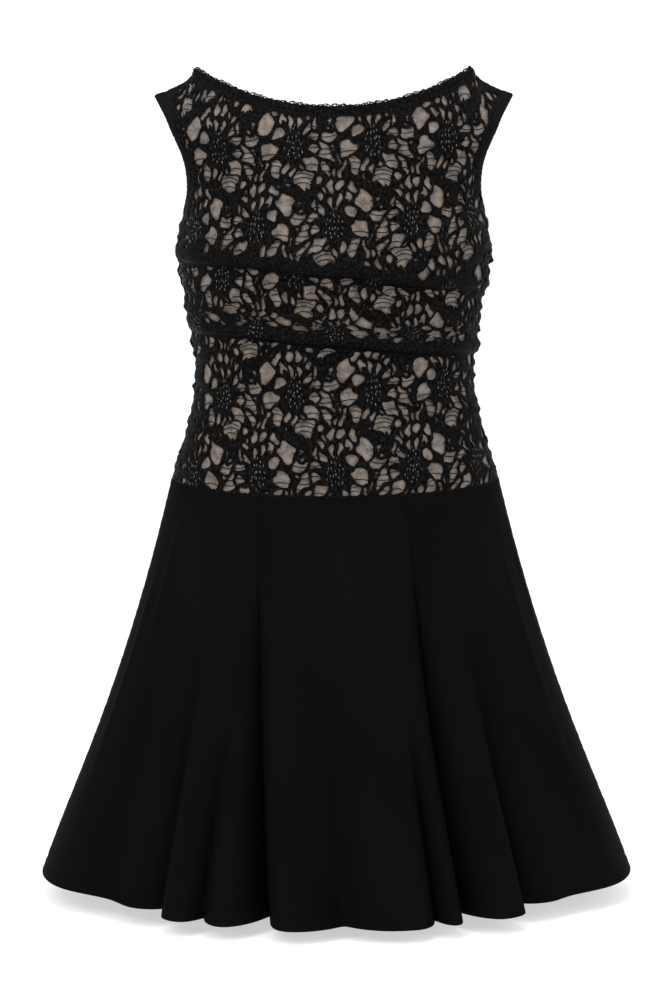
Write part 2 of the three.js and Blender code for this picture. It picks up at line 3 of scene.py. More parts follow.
import bpy
import numpy as np
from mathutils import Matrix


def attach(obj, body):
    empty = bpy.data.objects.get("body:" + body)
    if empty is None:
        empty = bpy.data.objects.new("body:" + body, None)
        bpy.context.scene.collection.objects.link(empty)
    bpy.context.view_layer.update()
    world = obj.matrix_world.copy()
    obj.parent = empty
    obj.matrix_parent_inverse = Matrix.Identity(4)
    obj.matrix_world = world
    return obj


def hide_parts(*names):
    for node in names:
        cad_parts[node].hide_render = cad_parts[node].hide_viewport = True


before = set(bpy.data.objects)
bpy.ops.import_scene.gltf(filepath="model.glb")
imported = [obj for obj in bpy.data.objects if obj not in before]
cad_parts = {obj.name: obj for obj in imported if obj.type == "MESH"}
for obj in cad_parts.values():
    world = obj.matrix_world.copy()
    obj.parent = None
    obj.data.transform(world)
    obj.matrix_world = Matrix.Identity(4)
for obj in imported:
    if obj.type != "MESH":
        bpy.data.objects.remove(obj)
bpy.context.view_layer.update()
MM = 0.001

# Sizes shared with the solids
NECK_POINT_X, NECK_POINT_Z = 149.0, -4.0
NECK_DROP = {"front": 43.0, "back": 68.0}
NECK_DEPTH = {"front": 88.0, "back": 80.0}
NECK_TURN = math.radians(60)
NECK_FLATNESS = 2.2
SHOULDER_END_X, SHOULDER_END_Z = 194.0, -34.5
SHOULDER_SAG = 0.5
NECK_SHARE_COLUMN = 16 / 18
EVEN_OUT = 0.055
SIDE_SEAM_TOP_LEVEL = 5
TOP_LEVEL = 9
NECK_BAND_WIDTH = 8.0
ARMHOLE_BAND_WIDTH = 11.0
BAND_GAP = 0.4
LINING_OUT, LINING_IN = 0.0, -1.0
LACE_OUT, LACE_IN = 2.1, 1.1
SKIRT_OUT, SKIRT_IN = 2.0, 0.8
FACES = {"front": -1, "back": 1}


def table(columns, *rows):
    """Rows of values as dictionaries with the columns' names"""
    return [dict(zip(columns.split(), row)) for row in rows]


# Sections of the bodice from the waist seam up
SECTIONS = table(
    "edge_z half_width edge turn front_z front back_z back",
    (-450, 177.5, 0, 90, -461, 117, -456, 118),
    (-398, 160.5, 0, 90, -405, 109, -402, 108),
    (-338, 149.5, 0, 90, -342, 104, -341, 96),
    (-268, 157, 0, 90, -269, 116, -270, 101),
    (-205, 167.5, 0, 90, -205, 129, -208, 106),
    (-161.3, 162.5, 0, 90, -161, 124, -166, 106),
    (-134, 157.5, 27, 76, -132, 117, -142, 104),
    (-102, 161, 42, 66, -103, 109, -119, 100),
    (-64, 177.5, 37, 60, -74, 100, -95, 92),
)
WAIST = SECTIONS[0]

# Folds that cross a bodice panel: the crest's height at five places from the left side seam to the right one,
# how far it stands out at each, the reach of its upper slope, how far its crest hangs, and the cloth taken up
FOLD_COLUMNS = "crest rise above hang taken"
FOLDS = {
    "front": table(
        FOLD_COLUMNS,
        ([-203, -206, -217, -231, -236], [3.5, 8.5, 8.5, 6.5, 3.0], 15, 5.0, 34),
        ([-279, -283, -293, -302, -306], [3.5, 6.5, 7.0, 7.0, 4.0], 14, 4.0, 12),
        ([-262, -266, -277, -284, -286], [2.0, 3.2, 1.8, 0.8, 0.0], 12, 1.5, 28),
    ),
    "back": table(
        FOLD_COLUMNS,
        ([-232, -230, -222, -213, -210], [3.5, 6.5, 7.0, 7.5, 3.5], 15, 4.5, 30),
        ([-304, -302, -295, -287, -284], [3.0, 6.5, 7.0, 6.0, 3.0], 14, 4.0, 22),
        ([-352, -354, -360, -366, -368], [2.5, 2.4, 0.6, 0.0, 0.0], 12, 1.0, 14),
    ),
}
FOLD_PLACES = [-1.0, -0.5, 0.0, 0.5, 1.0]
FOLD_BELOW = 5.0
# A fold of FULL_FOLD or more has the whole trough below it and hangs by the whole of its table's value
FULL_FOLD = 8.0
FOLD_TROUGH = {"depth": 1.5, "below": 10.0, "half_width": 5.0}
HANG_HALF_WIDTH = 8.0
# How far above and below a crest the lace lies doubled, with no gaps, and how soft and ragged that strip ends
DOUBLED = {"above": 9.0, "below": 11.0, "least_rise": 4.2, "edge": 4.0, "ragged": 1.4}

# Soft creases: column and height of both ends, rise and half width in mm. Column -1 is a panel's left edge.
CREASES = {
    "front": [
        (-0.96, -176, -0.42, -158, 2.2, 6.0), (-0.97, -196, -0.30, -182, 1.8, 7.0),
        (0.97, -181, 0.40, -165, 2.0, 6.0), (0.97, -205, 0.30, -192, 2.2, 7.0),
        (0.97, -222, 0.48, -212, 1.6, 5.5), (-0.97, -240, -0.46, -248, 2.0, 6.0),
        (0.97, -262, 0.42, -270, 2.2, 6.5), (-0.97, -318, -0.38, -308, 1.8, 6.5),
        (0.97, -334, 0.44, -322, 1.8, 6.0), (-0.97, -356, -0.44, -348, 1.6, 6.5),
        (0.97, -374, 0.36, -362, 1.8, 7.0), (-0.97, -402, -0.42, -410, 1.6, 6.5),
        (0.97, -420, 0.30, -432, 2.4, 6.0), (0.97, -438, 0.46, -446, 1.8, 5.0),
        (-0.97, -434, -0.55, -440, 1.6, 5.5), (-0.30, -118, 0.24, -112, 0.8, 12.0),
    ],
    "back": [
        (-0.97, -180, -0.40, -166, 2.0, 6.5), (0.97, -186, 0.34, -170, 2.0, 6.5),
        (-0.97, -206, -0.48, -198, 1.7, 6.0), (0.97, -240, 0.44, -252, 2.2, 6.5),
        (-0.97, -262, -0.36, -254, 2.0, 7.0), (0.97, -322, 0.40, -312, 1.9, 6.5),
        (-0.97, -334, -0.44, -326, 1.7, 6.0), (0.97, -366, 0.32, -378, 2.1, 7.0),
        (-0.97, -392, -0.40, -384, 1.8, 6.5), (0.97, -412, 0.46, -404, 1.6, 6.0),
        (-0.97, -430, -0.34, -440, 2.2, 6.0), (0.97, -440, 0.52, -446, 1.8, 5.0),
        (0.20, -150, -0.22, -146, 0.8, 12.0),
    ],
}

# Gathers at the side seams: the distance between crests, their rise and their reach into the panel
GATHER = {"pitch": 12.6, "top": -172.0, "base": -446.0, "rise": 2.0, "half_width": 4.3, "reach": 34.0}

# The strip beside a side seam where the cloth is held flat
SEWN_WIDTH = 2.6
# How much the gathers, a fold's doubled lace and the strip along the side edges narrow the gaps at each edge
GATHERED_NARROWING = 3.0
FOLD_NARROWING = 7.0
BORDER = {"narrowing": 2.5, "width": 5.0}

# The lace in flat cloth: the distance between flowers. The next row lies half a repeat over and is mirrored.
REPEAT_ACROSS, REPEAT_UP = 84.0, 82.0
LEAST_CORD = 2.2
# Gaps round one flower: the middle's place across and up, half length, half width, tilt in degrees, taper,
# bend, and the power of its outline, from 1.3 for pointed to 2 for round
GAPS = [
    (-32.5, 22, 13.4, 9.8, 58, 0.15, 0.12, 2.1), (-18, 11.5, 7.2, 5.8, 35, 0.2, 0.2, 1.9),
    (-27, -7.5, 12.4, 7.4, 48, 0.3, 0.25, 1.7), (-42, -4, 9.6, 4.6, 80, 0.4, 0.5, 1.5),
    (-34.5, -27, 12.0, 6.4, 75, 0.5, -0.4, 1.6), (-20, -23, 11.2, 5.8, 108, 0.3, 0.45, 1.6),
    (-9.5, -26, 8.0, 3.4, 80, 0.5, 0.2, 1.4), (-1.5, -29, 7.2, 3.0, 93, 0.5, 0.0, 1.4),
    (6.5, -22.5, 6.4, 2.8, 102, 0.5, -0.2, 1.4), (-13, -40.5, 10.2, 5.6, 28, 0.3, 0.3, 1.6),
    (10, -37.5, 12.6, 10.4, 40, -0.2, 0.1, 1.7), (18, -19.5, 11.2, 6.2, 125, 0.4, 0.3, 1.6),
    (33, -27, 12.4, 6.2, 108, 0.3, -0.5, 1.6), (26, -40, 8.0, 4.6, 62, 0.3, 0.3, 1.5),
    (22, -6, 8.0, 4.6, 5, 0.4, 0.3, 1.5), (35, -9.5, 12.6, 7.2, 122, 0.35, 0.35, 1.6),
    (46.5, -20, 9.6, 4.4, 95, 0.4, -0.5, 1.5), (20, 6.5, 9.6, 4.4, 20, 0.3, 0.3, 1.5),
    (37, 5.5, 11.4, 7.4, -35, 0.3, 0.3, 1.7), (13.5, 17.5, 8.4, 4.0, 58, 0.4, -0.3, 1.5),
    (22.5, 21.5, 8.6, 4.0, 70, 0.3, 0.35, 1.5), (39.5, 20, 7.6, 4.6, -55, 0.3, -0.3, 1.5),
    (4.5, 23, 8.6, 2.4, 78, 0.5, 0.1, 1.4), (-4.5, 23.5, 9.0, 2.6, 100, 0.5, -0.1, 1.4),
    (-12.5, 25, 8.6, 3.6, 108, 0.4, 0.2, 1.5), (-19.5, 36.5, 9.4, 5.6, 62, 0.3, 0.4, 1.5),
    (16.5, 34, 10.8, 5.6, 72, 0.4, 0.4, 1.5), (35.5, 36.5, 10.6, 6.2, 80, 0.3, -0.3, 1.5),
    (4, 38, 9.6, 4.4, 100, 0.4, 0.3, 1.45), (-7, 39, 9.4, 4.8, 76, 0.4, -0.4, 1.5),
    (9, 50, 8.0, 3.4, 70, 0.4, 0.3, 1.5), (-31, 43, 10.0, 6.2, 5, 0.2, 0.3, 1.6),
    (-1, 52, 7.4, 3.4, 102, 0.3, 0.3, 1.5), (-47.5, 12, 8.8, 4.0, 95, 0.3, 0.5, 1.5),
    (-46.5, 33, 9.4, 5.6, 62, 0.3, 0.4, 1.5),
]
# Petals and leaves laid over the gaps: both ends, half width and bend in mm, and how blunt the ends are
LEAVES = [
    (-1, 0, -23, 3, 3.0, 2.5, 0.1), (-2, -2, -20, -14, 3.0, -2.5, 0.1), (0, -3, -8, -30, 2.4, 2.0, 0.12),
    (0, -3, 3, -28, 2.4, -0.5, 0.12), (2, -3, 11, -25, 2.6, -2.0, 0.12), (2, -2, 23, -12, 3.0, -2.5, 0.1),
    (2, 0, 26, 1, 2.8, 2.5, 0.1), (0, 2, 16, 24, 2.8, 2.0, 0.1), (0, 2, 0, 32, 2.4, 0.5, 0.12),
    (-2, 2, -14, 25, 3.0, -2.0, 0.1),
    (28.5, 13, 29, 39, 2.7, 4.0, 0.08), (-45, 10, -24, 36, 1.5, 7.5, 0.5), (-26, 6, -43, -12, 1.4, -4.5, 0.3),
    (24, -13, 41, -30, 2.2, 3.5, 0.2), (-26, -18, -28, -42, 2.6, -3.5, 0.08), (11, 27, 26, 45, 1.5, 3.0, 0.3),
    (-39, -12, -47, -30, 1.9, 3.0, 0.2), (31, -36, 19, -50, 1.7, 3.0, 0.2), (-4, 32, -17, 50, 1.8, 3.5, 0.2),
    (-3, -44, 7, -55, 2.0, -2.0, 0.1), (40, 28, 52, 42, 1.5, -3.0, 0.2),
]
# The cords waver by this much, in mm, and gaps are trimmed at their edges
CORD_WAVER = 1.1
EDGE_WAVER = 0.3
GAP_TRIM = 0.2
# All gaps but the round ones, with a power of ROUND_POWER or more, grow until their corners nearly meet
GAP_GROWTH = 1.2
POINTEDNESS = 0.8
ROUND_POWER = 1.85

# The flat lace's height grows with the body's from a flower row at FLAT_START. Each fold takes up more of it.
FLAT_START = -434.0
FLAT_STRETCH = 0.965
ROW_SLOPE = 0.045

# Raised stitches at the middle of a flower, coloured light grey as a painted glint: place across and up, and
# tilt in degrees
STITCHES = [
    (-7, -10, 12), (-4, -13, 5), (-1, -9, 2), (2, -14, -3), (5, -10, -9), (8, -7, -14),
    (-9, -4, 20), (-5, -5, 10), (-2, -3, 3), (1, -4, 0), (4, -3, -8), (7, -1, -16),
    (-8, 3, 22), (-4, 2, 8), (0, 2, 2), (3, 3, -6), (6, 5, -12), (-6, 8, 14),
    (-2, 8, 4), (1, 9, -2), (4, 11, -8), (-3, 14, 6), (0, 16, 0), (2, 20, -4),
]
STITCH = {"length": 2.8, "width": 0.65, "rise": 0.4, "wander": 1.1}

# Fine threads across the larger gaps: three places across and up in the repeat that each one passes
THREADS = [
    (-40, -12, -29, -7, -18, -9), (-36, -17, -27, -13, -19, -17), (-43, -24, -34, -21, -28, -26),
    (25, -10, 34, -13, 44, -8), (26, -15, 34, -19, 42, -15), (27, 12, 37, 11, 46, 15),
    (26, 7, 36, 5, 47, 9), (28, 2, 36, -1, 45, 1), (27, -5, 35, -7, 45, -3),
    (-2, -32, 9, -26, 20, -33), (-3, -37, 9, -30, 21, -37), (-1, -42, 9, -35, 19, -42),
    (12, -22, 18, -19, 25, -22), (14, 17, 20, 19, 26, 16), (14, 9, 20, 5, 28, 8),
    (27, -30, 33, -26, 39, -30), (29, -22, 34, -20, 39, -23), (-25, -21, -20, -19, -14, -22),
    (-27, -28, -20, -26, -14, -29), (-21, -44, -13, -41, -5, -43), (-37, 43, -30, 45, -23, 42),
    (12, 32, 17, 34, 22, 31), (14, 39, 19, 35, 24, 36), (42, -22, 47, -19, 52, -22),
    (-48, -7, -42, -4, -37, -7), (35, 22, 40, 19, 46, 22), (17, -4, 22, -2, 30, -5),
]
THREAD_WIDTH = 0.9
THREAD_STEPS = 6
THREAD_DEPTH = 0.45
# The rows and columns of flowers that a panel may show
FLOWER_ROWS = range(-1, 8)
FLOWER_COLUMNS = range(-4, 5)

# Points across and up in the grids of the cloths
LINING_GRID = (150, 140)
LACE_GRID = (284, 248)
GORE_GRID = (104, 120)
# The gores' rows that lie closer, near the hem
HEM_ROWS = 20
# The lining follows the lace's folds by this share
LINING_FOLLOWS = 0.75

# Valleys between the skirt's flares: angles from the front centre at the seam and the hem, half width in
# degrees, depth and lean at the hem, where each starts, and the sharp crease along its floor, if it has one:
# half width in degrees, depth and start
SKIRT_VALLEYS = table(
    "top hem width depth lean start crease",
    (-54, -53, 12, 26, 0, 0.25, None),
    (-42, -40, 4, 22, 8, 0.3, (1.6, 12, 0.35)),
    (-30, -26.6, 2.6, 22, -6, 0.45, (1.0, 10, 0.5)),
    (-27, -15.8, 3.6, 44, 4, 0.1, (1.5, 24, 0.2)),
    (1, 1.5, 6, 22, 0, 0.45, (2.2, 8, 0.5)),
    (17, 19.5, 2.4, 20, 4, 0.5, (1.0, 16, 0.5)),
    (24.4, 28, 3, 42, -4, 0.1, (1.3, 24, 0.16)),
    (40, 44, 4, 24, -8, 0.28, (1.6, 14, 0.3)),
    (55, 54, 12, 26, 0, 0.25, None),
    (108, 109, 7, 24, 5, 0.3, None),
    (131, 132, 5, 32, -5, 0.35, (1.8, 14, 0.35)),
    (153, 157, 4.5, 42, 5, 0.12, (1.6, 22, 0.2)),
    (178, 177, 6, 26, 0, 0.4, None),
    (206, 201, 4.5, 42, -5, 0.12, (1.6, 22, 0.2)),
    (229, 226, 5.5, 30, 5, 0.35, (1.9, 14, 0.35)),
    (252, 250, 7, 22, -5, 0.3, None),
)
VALLEY_GROWTH = 1.25
CREASE_GROWTH = 0.8
SKIRT_SAG = 0.3
SKIRT_HEM = dict(side=-885.0, middle=-897.0, half_width=324.0, front=268.0, back=262.0)

# Gores: the angles of both seams at the top and the hem, and the cut in metres: its width at the seam and
# along the wavy hem, and its length
GORES = table(
    "name top hem cut",
    ("skirt_side_front_left", (-90, -27), (-90, -15.8), (0.152, 0.471, 0.455)),
    ("skirt_centre_front", (-27, 24.4), (-15.8, 28), (0.156, 0.375, 0.458)),
    ("skirt_side_front_right", (24.4, 90), (28, 90), (0.160, 0.383, 0.454)),
    ("skirt_side_back_right", (90, 153), (90, 157), (0.153, 0.412, 0.456)),
    ("skirt_centre_back", (153, 206), (157, 201), (0.161, 0.316, 0.459)),
    ("skirt_side_back_left", (206, 270), (201, 270), (0.156, 0.417, 0.457)),
)
# Shallow waves in the skirt: angle at the top and the hem, half width in degrees, rise, first and last drop
SKIRT_CREASES = [
    (-72, -74, 2.2, 1.4, 0.15, 0.8), (-63, -66, 1.6, 1.2, 0.02, 0.45), (-36, -34, 1.5, 1.3, 0.1, 0.7),
    (-14, -8, 2.0, 1.2, 0.05, 0.6), (-3, -2, 1.4, 0.9, 0.3, 0.95), (9, 10, 1.8, 1.2, 0.08, 0.75),
    (34, 36, 1.5, 1.3, 0.05, 0.6), (47, 49, 1.8, 1.2, 0.12, 0.8), (66, 69, 2.2, 1.3, 0.1, 0.85),
    (80, 79, 1.8, 1.0, 0.02, 0.5), (98, 99, 2.0, 1.3, 0.08, 0.7), (120, 121, 2.2, 1.4, 0.05, 0.8),
    (142, 144, 1.8, 1.2, 0.1, 0.6), (168, 167, 2.0, 1.3, 0.05, 0.8), (190, 188, 1.8, 1.2, 0.1, 0.7),
    (218, 215, 2.0, 1.3, 0.06, 0.75), (240, 238, 2.2, 1.4, 0.1, 0.85), (260, 259, 1.8, 1.1, 0.03, 0.6),
]
CREASE_RISE = 1.6

HEM_DEPTH = 14.0

# Small loops of thread along the neck's upper edge
PICOT = {"pitch": 4.2, "height": 3.5, "thickness": 0.6, "sunk": 0.6, "out": 0.6, "steps": 12, "sides": 5}

# Across a folded band, from its seam over the outside, round the edge and back inside: the place from the
# opening's edge, 0, to the seam, 1, and the distance out
BAND_SECTION = [
    (1.04, 1.6), (1.02, 2.1), (0.9, 2.35), (0.7, 2.5), (0.45, 2.55), (0.2, 2.45), (0.06, 2.1), (-0.02, 1.5),
    (-0.04, 0.6), (-0.01, -0.3), (0.08, -0.8), (0.3, -1.1), (0.6, -1.15), (0.85, -1.1), (0.98, -0.9),
]
# The underarm's lowest point, and the point that its curve bends towards
UNDERARM = np.array([160.0, 0.0, -150.0])
UNDERARM_BEND = np.array([158.5, 24.0, -149.0])

# The floor lies a little below the hem. The camera stands in front of the dress and looks slightly down.
# Places, the floor's size and its gap are in metres, angles in degrees, lens and sensor in mm.
FLOOR_SIZE = 40.0
FLOOR_GAP = 0.014
CAMERA_PLACE = (0.0022, -3.6, -0.110)
CAMERA_DOWN, CAMERA_ROLL = 5.86, 0.2
CAMERA_LENS, CAMERA_SENSOR = 117.5, 36
# Soft lights: places and sizes in metres, angles in degrees, power in watts
LIGHTS = table(
    "name place tilt turn size power",
    ("key", (-1.6, -2.6, 1.6), 62, -32, 1.8, 60),
    ("fill", (2.0, -2.2, 0.6), 74, 42, 1.6, 22),
    ("top", (0.0, -0.6, 2.4), 14, 0, 1.6, 30),
)


def mix(a, b, t):
    return a + (b - a) * t


def smooth(t):
    t = np.clip(t, 0.0, 1.0)
    return t * t * (3 - 2 * t)


def hump(away):
    """1 in the middle, falling softly to 0 on both sides"""
    return np.exp(-(away**2))


def unit(vectors):
    return vectors / np.maximum(np.linalg.norm(vectors, axis=-1, keepdims=True), 1e-9)


def distance(a, b):
    return np.linalg.norm(a - b, axis=-1)


def between(layer, across, up):
    """Values of a grid at places between its points"""
    i, j = across.astype(int), up.astype(int)
    u, v = across - i, up - j
    if layer.ndim == 3:
        u, v = u[..., None], v[..., None]
    lower = mix(layer[j, i], layer[j, i + 1], u)
    upper = mix(layer[j + 1, i], layer[j + 1, i + 1], u)
    return mix(lower, upper, v)


def eased(x, stops, values):
    """Values at rising stops, joined by a smooth curve"""
    i = np.clip(np.searchsorted(stops, x) - 1, 0, len(stops) - 2)
    stops, values = np.asarray(stops, float), np.asarray(values, float)
    t = smooth((x - stops[i]) / (stops[i + 1] - stops[i]))
    return mix(values[i], values[i + 1], t)


def curved(before, here, ahead, beyond, t):
    """A smooth curve from here, at 0, to ahead, at 1, that heads from before and to beyond"""
    curve = 2 * here + (ahead - before) * t
    curve += (2 * before - 5 * here + 4 * ahead - beyond) * t**2
    curve += (3 * here - 3 * ahead + beyond - before) * t**3
    return curve / 2


def bent(start, bend, end, t):
    """A curve from start to end that is drawn towards bend"""
    return (1 - t) ** 2 * start + 2 * t * (1 - t) * bend + t**2 * end


def cell_corners(grid):
    """The corners of each cell of a grid, anticlockwise from its lower left one"""
    return [grid[:-1, :-1], grid[:-1, 1:], grid[1:, 1:], grid[1:, :-1]]


def lengths_along(points):
    """The length along each line from its first point to each of its points"""
    steps = distance(points[..., 1:, :], points[..., :-1, :])
    return np.concatenate([np.zeros_like(steps[..., :1]), np.cumsum(steps, axis=-1)], axis=-1)


# Bodice surface. share runs from -1 to 1 between a panel's edges, level from 0 at the waist seam to 9 on top.
def column_share(column):
    return column - EVEN_OUT * np.sin(np.pi * column)


NECK_SHARE = float(column_share(NECK_SHARE_COLUMN))


def arc_place(share, turn):
    angle = share * turn
    return np.sin(angle) / math.sin(turn), (np.cos(angle) - math.cos(turn)) / (1 - math.cos(turn))


def section_ring(face, share, section):
    across, bulge = arc_place(share, math.radians(section["turn"]))
    x = section["half_width"] * across
    y = FACES[face] * mix(section["edge"], section[face], bulge)
    z = mix(section["edge_z"], section[face + "_z"], bulge)
    return np.stack([x, y, z], axis=-1)


def top_ring(face, share):
    reach = np.abs(share) / NECK_SHARE
    across, bulge = arc_place(np.sign(share) * np.minimum(reach, 1), NECK_TURN)
    drop = NECK_DROP[face] * (1 - np.abs(across) ** NECK_FLATNESS)
    x = NECK_POINT_X * across
    y = FACES[face] * NECK_DEPTH[face] * bulge
    z = NECK_POINT_Z - drop
    along = np.clip((np.abs(share) - NECK_SHARE) / (1 - NECK_SHARE), 0, 1)
    on_shoulder = reach >= 1
    x = np.where(on_shoulder, np.sign(share) * mix(NECK_POINT_X, SHOULDER_END_X, along), x)
    y = np.where(on_shoulder, 0.0, y)
    z = np.where(on_shoulder, mix(NECK_POINT_Z, SHOULDER_END_Z, along**SHOULDER_SAG), z)
    return np.stack([x, y, z], axis=-1)


def bodice_point(face, share, level):
    share, level = np.broadcast_arrays(np.asarray(share, float), np.asarray(level, float))
    shape = share.shape
    share, level = share.ravel(), level.ravel()
    rings = np.stack([section_ring(face, share, s) for s in SECTIONS] + [top_ring(face, share)])
    start = np.clip(np.floor(level), 0, TOP_LEVEL - 1).astype(int)
    t = (level - start)[:, None]
    points = np.arange(len(share))
    around = [rings[np.clip(start + k, 0, TOP_LEVEL), points] for k in (-1, 0, 1, 2)]
    return curved(*around, t).reshape(shape + (3,))


def bodice_out(face, share, level):
    """The direction that faces out of the dress"""
    step = 0.002
    share, level = np.broadcast_arrays(np.asarray(share, float), np.asarray(level, float))
    right, left = np.minimum(share + step, 1), np.maximum(share - step, -1)
    upper, lower = np.minimum(level + step, TOP_LEVEL), np.maximum(level - step, 0)
    across = bodice_point(face, right, level) - bodice_point(face, left, level)
    up = bodice_point(face, share, upper) - bodice_point(face, share, lower)
    return unit(np.cross(across, up) * -FACES[face])


def bisect(low, high, is_below, size):
    low, high = np.full(size, float(low)), np.full(size, float(high))
    for _ in range(26):
        middle = (low + high) / 2
        below = is_below(middle)
        low, high = np.where(below, middle, low), np.where(below, high, middle)
    return (low + high) / 2


def edge_share(face, width):
    """The shares where a panel ends beside the armhole band, and their levels, from the side seam's top up"""
    levels = np.linspace(SIDE_SEAM_TOP_LEVEL, TOP_LEVEL, 41)
    edge = bodice_point(face, np.ones_like(levels), levels)

    def is_below(share):
        return distance(bodice_point(face, share, levels), edge) > width

    shares = bisect(0.5, 1, is_below, len(levels))
    first = int(np.searchsorted(levels, SIDE_SEAM_TOP_LEVEL + 1))
    shares[:first] = mix(1.0, shares[first], np.arange(first) / first)
    return levels, shares


def neck_level(face, shares, width):
    """The level where a panel ends below the neck edging"""
    held = np.clip(shares, -NECK_SHARE, NECK_SHARE)
    edge = top_ring(face, held)

    def is_below(level):
        return distance(bodice_point(face, shares, level), edge) > width

    levels = bisect(6, TOP_LEVEL, is_below, len(shares))
    past = distance(top_ring(face, shares), edge) > width
    return np.where(past, TOP_LEVEL, levels)


class Panel:
    """A grid over one face of the bodice: its points, ways out, flat places and the shape of its folds"""

    def __init__(self, face, columns, rows):
        self.face = face
        level_of = np.linspace(0, TOP_LEVEL, 400)
        height_of = bodice_point(face, np.zeros(400), level_of)[:, 2]
        ups = np.interp(np.linspace(height_of[0], height_of[-1], rows), height_of, level_of) / TOP_LEVEL
        corner = int(np.argmin(np.abs(ups - SIDE_SEAM_TOP_LEVEL / TOP_LEVEL)))
        ups[corner] = SIDE_SEAM_TOP_LEVEL / TOP_LEVEL
        across = column_share(np.linspace(-1, 1, columns))
        edge_levels, edge_shares = edge_share(face, ARMHOLE_BAND_WIDTH + BAND_GAP)
        shares = np.linspace(-1, 1, 401)
        tops = neck_level(face, shares, NECK_BAND_WIDTH + BAND_GAP)
        share = np.tile(across, (rows, 1))
        level = np.tile(ups[:, None] * TOP_LEVEL, (1, columns))
        for _ in range(4):
            level = ups[:, None] * np.interp(share, shares, tops)
            share = across[None, :] * np.interp(level, edge_levels, edge_shares, left=1.0)
        self.column = np.tile(np.linspace(-1, 1, columns), (rows, 1))
        self.share, self.level = share, level
        self.point = bodice_point(face, self.share, self.level)
        self.out = bodice_out(face, self.share, self.level)
        self.keep_to_own_side()
        self.flat_places()
        self.fold()

    def keep_to_own_side(self):
        sign = FACES[self.face]
        crossed = sign * self.point[..., 1] <= 1e-6
        self.point[..., 1] = np.where(crossed, 0.0, self.point[..., 1])
        self.out[..., 1] = np.where(crossed, 0.0, self.out[..., 1])
        self.out = unit(self.out)

    def flat_places(self):
        run = lengths_along(self.point)
        self.s = run - run[:, -1:] / 2
        self.from_side = np.minimum(run, run[:, -1:] - run)
        self.z = self.point[..., 2]
        flow = self.s if self.face == "front" else -self.s
        self.t = FLAT_STRETCH * (self.z - ROW_SLOPE * flow - FLAT_START)

    def fold(self):
        self.gathered = self.gathered_share()
        rise, drop, self.doubled = (np.zeros_like(self.z) for _ in range(3))
        for fold in FOLDS[self.face]:
            above = self.z - eased(self.column, FOLD_PLACES, fold["crest"])
            height = eased(self.column, FOLD_PLACES, fold["rise"])
            share = height / FULL_FOLD
            trough = hump((above + FOLD_TROUGH["below"]) / FOLD_TROUGH["half_width"])
            rise += height * np.where(above > 0, hump(above / fold["above"]), hump(above / FOLD_BELOW))
            rise -= FOLD_TROUGH["depth"] * trough * share
            drop += fold["hang"] * share * hump(above / HANG_HALF_WIDTH)
            taken = (above + DOUBLED["below"]) / (DOUBLED["below"] + DOUBLED["above"])
            self.t += fold["taken"] * smooth(taken)
            ragged = above + DOUBLED["ragged"] * np.sin(self.s * 0.24 + 2 * np.sin(self.s * 0.05))
            inside = smooth((DOUBLED["above"] - ragged) / DOUBLED["edge"])
            inside = inside * smooth((ragged + DOUBLED["below"]) / DOUBLED["edge"])
            held = smooth((height - DOUBLED["least_rise"]) / 1.5)
            self.doubled = np.maximum(self.doubled, inside * held)
        sewn = 1 - hump(self.from_side / SEWN_WIDTH) * self.gathered
        self.rise = (rise + self.crease_rise() + self.gather_rise()) * sewn
        self.drop = drop * sewn

    def crease_rise(self):
        rise = np.zeros_like(self.z)
        for c0, z0, c1, z1, height, half_width in CREASES[self.face]:
            along = (self.column - c0) / (c1 - c0)
            middle = mix(z0, z1, along) + 2.5 * np.sin(along * 5 + z0)
            ends = smooth((along + 0.1) / 0.3) * smooth((1.1 - along) / 0.5)
            away = (self.z - middle) / half_width
            rise += height * ends * (hump(away) - 0.35 * hump(away + 1.7))
        return rise

    def gather_rise(self):
        rise = np.zeros_like(self.z)
        count = int((GATHER["top"] - GATHER["base"]) / GATHER["pitch"])
        for k in range(count + 1):
            for side in (-1, 1):
                wobble = math.sin(k * 2.3 + side * 1.7 + FACES[self.face])
                height = GATHER["top"] - k * GATHER["pitch"] + 2.4 * wobble
                reach = GATHER["reach"] * (1 + 0.5 * math.sin(k * 1.3 + side))
                slant = 0.16 * math.cos(k * 0.9 + side * 2)
                half_width = GATHER["half_width"] * (1 + 0.25 * wobble)
                away = (self.z - height - slant * self.from_side) / half_width
                fade = hump(self.from_side / reach) * (self.column * side > 0)
                size = GATHER["rise"] * (1 + 0.4 * math.cos(k * 1.9 + side))
                rise += size * fade * (hump(away) - 0.4 * hump(away + 1.8))
        return rise * self.gathered

    def gathered_share(self):
        """1 beside the side seam, 0 beside the armhole"""
        return smooth((SIDE_SEAM_TOP_LEVEL + 0.3 - self.level) / 0.5)

